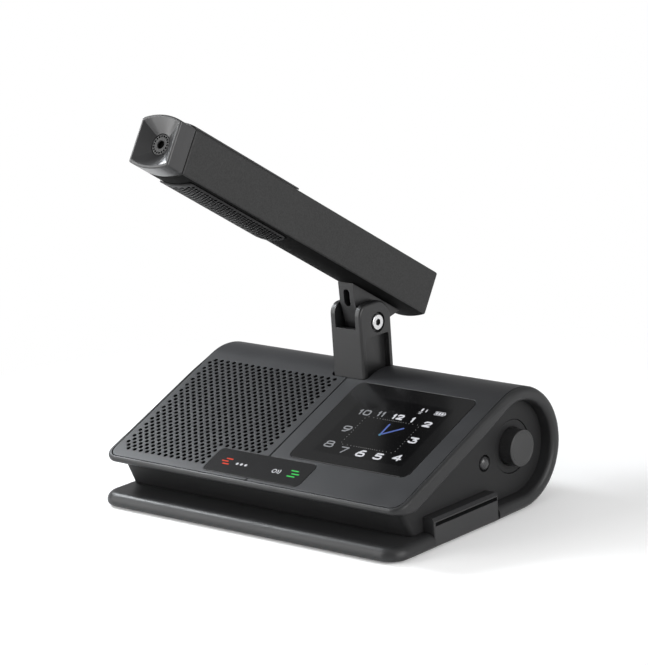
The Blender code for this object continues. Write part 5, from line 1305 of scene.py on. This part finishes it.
def build_arm():
    seam = BEAM_FRONT - CAP_LENGTH
    beam = outline_solid("arm_tube", beam_section(), BEAM_REAR, seam - GAP / 2, LENGTHWISE)
    eased(beam, 0.9 * MM, 4, 30)
    room_half = BEAM_WIDTH / 2 - BEAM_WALL
    floor = BEAM_UNDER + BEAM_WALL / 2
    roof = BEAM_UNDER + BEAM_FLAT_HEIGHT - BEAM_WALL / 2
    carve(beam, box("arm_room", (-room_half, room_half), (-seam - MM, -BEAM_REAR + MM), (floor, roof)))
    for side, span in ((1, STRIP_TOP), (-1, STRIP_BOTTOM)):
        carve(beam, outline_solid("strip_recess", strip_section(side, GAP), span[0] - GAP, span[1] + GAP, LENGTHWISE))
    dress(place_on_arm(beam), ARM_LOOK, "arm", ("arm_housing",))
    # faces turned down are painted near-black: painted shade under the arm
    down = ON_ARM.to_3x3() @ Vector((0, 0, -1))
    darken(beam, UNDERSIDE_SHADE_LOOK, lambda face: face.normal.dot(down) > 0.8)
    build_strip("strip_top", 1, STRIP_TOP, "mesh_top")
    build_strip("strip_bottom", -1, STRIP_BOTTOM, "mesh_bottom")

    plug_x = room_half - GAP
    layers = [(0, 0), (PLUG_THICKNESS - 0.4 * MM, 0), (PLUG_THICKNESS, 0.4 * MM)]
    plug = plate("tube_plug", (-plug_x, plug_x), (floor + GAP, roof - GAP), 1.2 * MM, layers)
    turn = Matrix.Translation((0, -BEAM_REAR - PLUG_THICKNESS, 0)) @ Matrix.Rotation(-QUARTER, 4, "X") \
        @ Matrix.Scale(-1, 4, (0, 1, 0))
    plug.data.transform(turn)
    shape = to_bmesh(plug)
    store(plug, shape)
    dress(place_on_arm(plug), DARK_WALL_AND_SHADE_LOOK, "arm", ("rear_plug",))

    cap = outline_solid("nose_cap", beam_section(), seam + GAP / 2, BEAM_FRONT, LENGTHWISE)
    eased(cap, 0.9 * MM, 4, 30)
    middle_height = BEAM_UNDER + BEAM_FLAT_HEIGHT / 2
    throat = BEAM_FRONT - FUNNEL_DEPTH
    nose = (0, 0, middle_height)
    ahead = (0, -1, 0)
    carve(cap, build_funnel(middle_height, throat),
          rod("disc_seat", nose, ahead, DISC_RADIUS + GAP, throat - DISC_THICKNESS - GAP, BEAM_FRONT),
          rod("capsule_seat", nose, ahead, CAPSULE_RADIUS + GAP, seam - MM, BEAM_FRONT))
    dress(place_on_arm(cap), CAP_LOOK, "arm", ("front_cap",), 20)

    disc_low = throat - DISC_THICKNESS
    disc = turned("nose_disc", [(DISC_HOLE_RADIUS, disc_low), (DISC_RADIUS, disc_low)]
                  + fillet(DISC_RADIUS, throat, 0.25 * MM, 3) + [(DISC_HOLE_RADIUS + 0.3 * MM, throat),
                                                                 (DISC_HOLE_RADIUS, throat - 0.3 * MM)], nose, ahead)
    dots = []
    for count in range(18):
        turn = 2 * PI * count / 18
        spot = (4.9 * MM * math.cos(turn), 0, middle_height + 4.9 * MM * math.sin(turn))
        dots.append(rod("dot", spot, ahead, 0.58 * MM, disc_low - MM, throat + MM, 12))
    carve(disc, merged("dots", dots))
    dress(place_on_arm(disc), STRIP_LOOK, "arm", ("capsule_disc",))


# marks on the glass

MARK_LOW = 0.02 * MM
MARK_HIGH = 0.035 * MM
WHITE_MARK = glowing("mark_white", (0.84, 0.85, 0.90), 0.78)
PALE_MARK = glowing("mark_pale", (0.62, 0.64, 0.68), 0.42)
DOT_MARK = glowing("mark_dots", (0.62, 0.62, 0.62), 0.30)
BLUE_MARK = glowing("mark_blue", (0.16, 0.26, 0.80), 0.55)
CYAN_MARK = glowing("mark_cyan", (0.12, 0.38, 0.62), 0.5)
RED_MARK = glowing("mark_red", (1.0, 0.05, 0.005), 0.8)
GREEN_MARK = glowing("mark_green", (0.04, 0.85, 0.12), 0.75)


def mark_plate(name, outlines, look):
    things = [outline_solid(name, points, GLASS_PROUD + MARK_LOW, GLASS_PROUD + MARK_HIGH, ON_SLOPE)
              for points in outlines]
    thing = merged(name, things)
    thing.name = name
    return dress(thing, look, "housing")


def stroke(start, end, width, steps=6):
    """A bar with round ends."""
    run = Vector(end) - Vector(start)
    turn = math.atan2(run.y, run.x)
    points = []
    for centre, first in ((end, turn - QUARTER), (start, turn + QUARTER)):
        for step in range(steps + 1):
            angle = first + PI * step / steps
            points.append((centre[0] + width / 2 * math.cos(angle), centre[1] + width / 2 * math.sin(angle)))
    return points


def in_mm(points):
    return [(x * MM, y * MM) for x, y in points]


ROUND_LOOP = ((0.2, 0), (0.8, 0), (1, 0.2), (1, 0.8), (0.8, 1), (0.2, 1), (0, 0.8), (0, 0.2), (0.2, 0))
SIX = ((0.9, 1), (0.5, 1), (0.12, 0.58), (0, 0.3), (0.05, 0.1), (0.2, 0), (0.8, 0), (1, 0.12), (1, 0.42), (0.8, 0.56),
       (0.14, 0.56))
DIGITS = {
    "0": (ROUND_LOOP,),
    "1": (((0, 0.72), (0.55, 1), (0.55, 0)),),
    "2": (((0, 0.8), (0.2, 1), (0.8, 1), (1, 0.85), (0.95, 0.6), (0, 0.05), (1, 0.02)),),
    "3": (((0.02, 1), (0.98, 1), (0.5, 0.58), (0.85, 0.56), (1, 0.42), (1, 0.15), (0.8, 0), (0.2, 0), (0, 0.16)),),
    "4": (((0.72, 0), (0.72, 1), (0, 0.28), (1, 0.28)),),
    "5": (((0.95, 1), (0.14, 1), (0.06, 0.58), (0.8, 0.6), (1, 0.45), (1, 0.16), (0.8, 0), (0.2, 0), (0, 0.12)),),
    "6": (SIX,),
    "7": (((0, 1), (1, 1), (0.4, 0)),),
    "8": (((0.2, 0), (0.8, 0), (1, 0.12), (1, 0.42), (0.8, 0.54), (0.2, 0.54), (0, 0.42), (0, 0.12), (0.2, 0)),
          ((0.2, 0.54), (0.08, 0.66), (0.08, 0.88), (0.24, 1), (0.76, 1), (0.92, 0.88), (0.92, 0.66), (0.8, 0.54))),
    "9": (tuple((1 - x, 1 - y) for x, y in SIX),),
}


def joined_plates(name, outlines):
    """One clean body from overlapping flat outlines on the glass."""
    things = [outline_solid(name, points, GLASS_PROUD + MARK_LOW, GLASS_PROUD + MARK_HIGH, ON_SLOPE)
              for points in outlines]
    body = things[0]
    for other in things[1:]:
        change = body.modifiers.new("union", "BOOLEAN")
        change.operation, change.solver, change.object = "UNION", "MANIFOLD", other
        body = baked(body)
        bpy.data.objects.remove(other, do_unlink=True)
    return body


def numeral(text, centre, width, height, look):
    """A number in wide plain strokes, all in millimetres."""
    pen = STROKE_WIDE if look is WHITE_MARK else STROKE_THIN
    room = [0.5 if letter == "1" and len(text) > 1 else 1 for letter in text]
    each = (width - PEN_SPACE * (len(text) - 1)) / sum(room)
    left, bars = centre[0] - width / 2, []
    for letter, share in zip(text, room):
        for line in DIGITS[letter]:
            spots = [(left + pen / 2 + (each * share - pen) * x, centre[1] - height / 2 + pen / 2 + (height - pen) * y)
                     for x, y in line]
            bars += [in_mm(stroke(first, second, pen)) for first, second in zip(spots, spots[1:])]
        left += each * share + PEN_SPACE
    thing = joined_plates("numeral_" + text, bars)
    thing.name = "numeral_" + text
    return dress(thing, look, "housing")


MARK_SHIFT = 1.1
STROKE_WIDE = 1.25
STROKE_THIN = 0.95
PEN_SPACE = 0.7
NUMERALS = (("10", 33.1, 82.0, 8.6, 4.9), ("11", 45.0, 83.0, 5.4, 4.8), ("12", 57.8, 82.8, 7.9, 4.9),
            ("1", 69.1, 82.5, 2.4, 4.9), ("2", 81.1, 80.6, 5.8, 5.1), ("3", 81.7, 65.5, 6.3, 5.3),
            ("4", 82.2, 49.1, 6.5, 5.7), ("5", 69.1, 47.3, 6.0, 5.8), ("6", 56.1, 47.3, 6.5, 5.9),
            ("7", 42.7, 47.6, 5.9, 5.6), ("8", 29.8, 50.6, 6.8, 5.7), ("9", 31.7, 65.7, 6.2, 5.4))
CLOCK_CENTRE = (57.9, 65.5)
CLOCK_HALF = (20.2, 13.3)


def build_marks():
    for text, x, s, width, height in NUMERALS:
        numeral(text, (x + MARK_SHIFT, s), width, height, WHITE_MARK if x > 50 else PALE_MARK)
    dots = []
    for minute in range(60):
        turn = 2 * PI * minute / 60
        run = (math.sin(turn), math.cos(turn))
        reach = min(CLOCK_HALF[0] / max(abs(run[0]), 1e-6), CLOCK_HALF[1] / max(abs(run[1]), 1e-6))
        dots.append(in_mm(circle((CLOCK_CENTRE[0] + run[0] * reach, CLOCK_CENTRE[1] + run[1] * reach), 0.3, 8)))
    mark_plate("minute_dots", dots, DOT_MARK)
    cx, cy = CLOCK_CENTRE
    hands = [stroke((cx, cy + 1.3), (cx, cy + 9.7), 1.2), stroke((cx + 1.2, cy + 0.9), (cx + 11.4, cy + 8.4), 1.2)]
    mark_plate("clock_hands", [in_mm(points) for points in hands], BLUE_MARK)
    mark_plate("clock_hub", [in_mm(circle((cx, cy), 1.0, 16))], CYAN_MARK)
    mic = [stroke((70.3, 91.4), (70.3, 93.0), 1.3), stroke((69.2, 90.1), (71.4, 90.1), 0.4),
           stroke((70.3, 89.3), (70.3, 89.6), 0.4), stroke((69.4, 88.8), (71.2, 88.8), 0.4),
           stroke((73.5, 91.0), (73.5, 92.8), 0.8)]
    mark_plate("mic_symbol", [in_mm(points) for points in mic], WHITE_MARK)
    cells = [in_mm([(81.0 + 2.0 * n, 90.3), (82.5 + 2.0 * n, 90.3), (82.5 + 2.0 * n, 92.3), (81.0 + 2.0 * n, 92.3)])
             for n in range(3)]
    mark_plate("battery_cells", cells, WHITE_MARK)
    corners = [(80.4, 89.8), (87.2, 89.8), (87.2, 92.8), (80.4, 92.8), (80.4, 89.8)]
    rim = [stroke(first, second, 0.3) for first, second in zip(corners, corners[1:])]
    rim.append(stroke((87.8, 90.8), (87.8, 91.8), 0.6))
    thing = joined_plates("battery_symbol", [in_mm(points) for points in rim])
    dress(thing, WHITE_MARK, "housing")

    red = [((-27.5, 23.1), (-23.2, 23.1)), ((-29.5, 20.8), (-25.2, 20.8)), ((-27.4, 18.5), (-23.2, 18.5))]
    mark_plate("mute_light", [in_mm(stroke(a, b, 0.9)) for a, b in red], RED_MARK)
    green = [((23.4, 23.0), (28.3, 23.0)), ((25.4, 20.4), (30.4, 20.4)), ((23.5, 18.0), (28.7, 18.0))]
    mark_plate("speak_light", [in_mm(stroke(a, b, 0.9)) for a, b in green], GREEN_MARK)
    white = [in_mm(circle((x, 20.2), 1.0, 16)) for x in (-17.3, -14.0, -10.6)]
    mark_plate("touch_dots", white, WHITE_MARK)
    ring = [(12.0 + 1.45 * math.cos(PI * n / 6), 20.1 + 1.45 * math.sin(PI * n / 6)) for n in range(13)]
    sound = [in_mm(stroke(first, second, 0.55)) for first, second in zip(ring, ring[1:])]
    for reach, low in ((2.9, 1.3), (4.4, 1.75)):
        bow = [(12.0 + reach - 0.7 + 0.7 * math.cos(turn), 20.1 + low * math.sin(turn))
               for turn in (-1.3, -0.65, 0, 0.65, 1.3)]
        sound += [in_mm(stroke(first, second, 0.6)) for first, second in zip(bow, bow[1:])]
    thing = joined_plates("sound_symbol", sound)
    dress(thing, WHITE_MARK, "housing")


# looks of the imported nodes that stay

KEPT = {
    "anti_slip_mat": RUBBER_LOOK, "battery_door": CHARCOAL, "battery_pack": GREY_LOOK,
    "base_screw_front_left": STEEL_LOOK, "base_screw_front_right": STEEL_LOOK, "base_screw_rear_left": STEEL_LOOK,
    "base_screw_rear_right": STEEL_LOOK, "button_switch": GREY_LOOK, "encoder_body": DARK_STEEL_LOOK,
    "encoder_shaft": STEEL_LOOK, "friction_washer_left": GREY_LOOK, "friction_washer_right": GREY_LOOK,
    "knuckle_screw_1": STEEL_LOOK, "knuckle_screw_2": STEEL_LOOK, "lcd_module": GREY_LOOK,
    "main_board": BOARD_LOOK, "mic_board": BOARD_LOOK, "mic_capsule_1": STEEL_LOOK, "mic_capsule_2": STEEL_LOOK,
    "mic_capsule_3": STEEL_LOOK, "nose_capsule": CLOTH_AND_SHADE_LOOK, "post_pedestal": DARK_STEEL_LOOK,
    "post_screw_left": STEEL_LOOK, "post_screw_right": STEEL_LOOK, "processor": GREY_LOOK,
    "side_board": BOARD_LOOK, "speaker_basket": DARK_STEEL_LOOK, "speaker_cone": PAPER_LOOK,
    "speaker_magnet": DARK_STEEL_LOOK, "touch_board": BOARD_LOOK,
}


def dress_kept():
    for name, look in KEPT.items():
        thing = bpy.data.objects[name]
        for slot in thing.material_slots:
            slot.material = look


# stage, light and camera

FLOOR_REACH = 8.0
FLOOR_LIFT = 0.16
FLOOR_NEAR = 0.2
FLOOR_FAR = 0.42
WORLD_LEVEL = 0.30

def seen_directly(tree):
    """1 for rays from the camera, mirrors and glass, 0 for light on its way between surfaces."""
    path = node(tree, "ShaderNodeLightPath")
    first = node(tree, "ShaderNodeMath", {0: path.outputs["Is Camera Ray"], 1: path.outputs["Is Glossy Ray"]},
                 operation="MAXIMUM")
    return node(tree, "ShaderNodeMath", {0: first.outputs["Value"], 1: path.outputs["Is Transmission Ray"]},
                operation="MAXIMUM").outputs["Value"]


def build_stage():
    shape = bmesh.new()
    bmesh.ops.create_grid(shape, x_segments=1, y_segments=1, size=FLOOR_REACH)
    floor = from_bmesh("floor", shape)
    look, tree, shader = fresh("floor_white")
    shader.inputs["Base Color"].default_value = (0.88, 0.88, 0.88, 1)
    shader.inputs["Roughness"].default_value = 0.9
    shader.inputs["Specular IOR Level"].default_value = 0.1
    shader.inputs["Emission Color"].default_value = (1, 1, 1, 1)
    seen = seen_directly(tree)
    lift = node(tree, "ShaderNodeMath", {0: seen, 1: FLOOR_LIFT}, operation="MULTIPLY")
    tree.links.new(lift.outputs["Value"], shader.inputs["Emission Strength"])
    place = node(tree, "ShaderNodeTexCoord").outputs["Object"]
    reach = node(tree, "ShaderNodeVectorMath", {0: place}, operation="LENGTH")
    away = node(tree, "ShaderNodeMapRange", {"Value": reach.outputs["Value"], "From Min": FLOOR_NEAR,
                                             "From Max": FLOOR_FAR}, interpolation_type="SMOOTHSTEP")
    share = node(tree, "ShaderNodeMath", {0: away.outputs["Result"], 1: seen}, operation="MULTIPLY")
    white = node(tree, "ShaderNodeEmission")
    white.inputs["Color"].default_value = (1, 1, 1, 1)
    blend = node(tree, "ShaderNodeMixShader", {"Fac": share.outputs["Value"]})
    tree.links.new(shader.outputs["BSDF"], blend.inputs[1])
    tree.links.new(white.outputs["Emission"], blend.inputs[2])
    tree.links.new(blend.outputs["Shader"], tree.nodes["Material Output"].inputs["Surface"])
    floor.data.materials.append(look)

    world = bpy.data.worlds.new("studio")
    bpy.context.scene.world = world
    world.use_nodes = True
    tree = world.node_tree
    background = tree.nodes["Background"]
    axes = node(tree, "ShaderNodeSeparateXYZ", {"Vector": node(tree, "ShaderNodeTexCoord").outputs["Generated"]})
    level = node(tree, "ShaderNodeMapRange", {"Value": axes.outputs["Z"], "From Min": 0.05, "From Max": 0.4,
                                              "To Min": 0.6, "To Max": WORLD_LEVEL}, interpolation_type="SMOOTHSTEP")
    background.inputs["Color"].default_value = (1, 1, 1, 1)
    tree.links.new(level.outputs["Result"], background.inputs["Strength"])


def soft_box(name, place, target, size, power, colour=(1, 1, 1)):
    light = bpy.data.lights.new(name, "AREA")
    light.color = colour
    light.shape = "RECTANGLE"
    light.size, light.size_y = size
    light.energy = power
    thing = bpy.data.objects.new(name, light)
    bpy.context.scene.collection.objects.link(thing)
    thing.location = place
    thing.rotation_euler = (Vector(target) - Vector(place)).to_track_quat("-Z", "Y").to_euler()
    return thing


CAMERA_PLACE = (1.233019, -1.358196, 0.564242)
CAMERA_RIGHT = (0.75112, 0.65682, -0.06643)
CAMERA_DOWN = (0.11239, -0.22638, -0.96753)
CAMERA_AHEAD = (-0.65053, 0.71926, -0.24386)
CAMERA_LENS = 174.09


def build_camera():
    lens = bpy.data.cameras.new("camera")
    lens.lens = CAMERA_LENS
    lens.sensor_width = 36
    lens.clip_start = 0.05
    lens.clip_end = 20
    camera = bpy.data.objects.new("camera", lens)
    bpy.context.scene.collection.objects.link(camera)
    right, down, ahead = Vector(CAMERA_RIGHT), Vector(CAMERA_DOWN), Vector(CAMERA_AHEAD)
    turn = Matrix((right, -down, -ahead)).transposed()
    camera.matrix_world = Matrix.Translation(CAMERA_PLACE) @ turn.to_4x4()
    bpy.context.scene.camera = camera


build_housing()
build_core()
build_reader()
build_side_controls()
build_post()
build_knuckle()
build_arm()
build_marks()
dress_kept()
build_stage()
build_camera()
soft_box("key", (-0.50, -0.05, 0.45), (-0.03, 0, 0.05), (0.15, 0.15), 3.3, (0.93, 0.965, 1.0))
soft_box("overhead", (0.35, -0.25, 1.5), (0, 0, 0.05), (1.8, 1.8), 3.8)
soft_box("front_left", (-0.9, -0.9, 0.5), (0, 0, 0.04), (0.9, 1.1), 12.5)
soft_box("right", (1.1, -0.05, 0.45), (0, 0, 0.04), (0.9, 0.7), 8.5)
bpy.context.scene.view_settings.view_transform = "Standard"
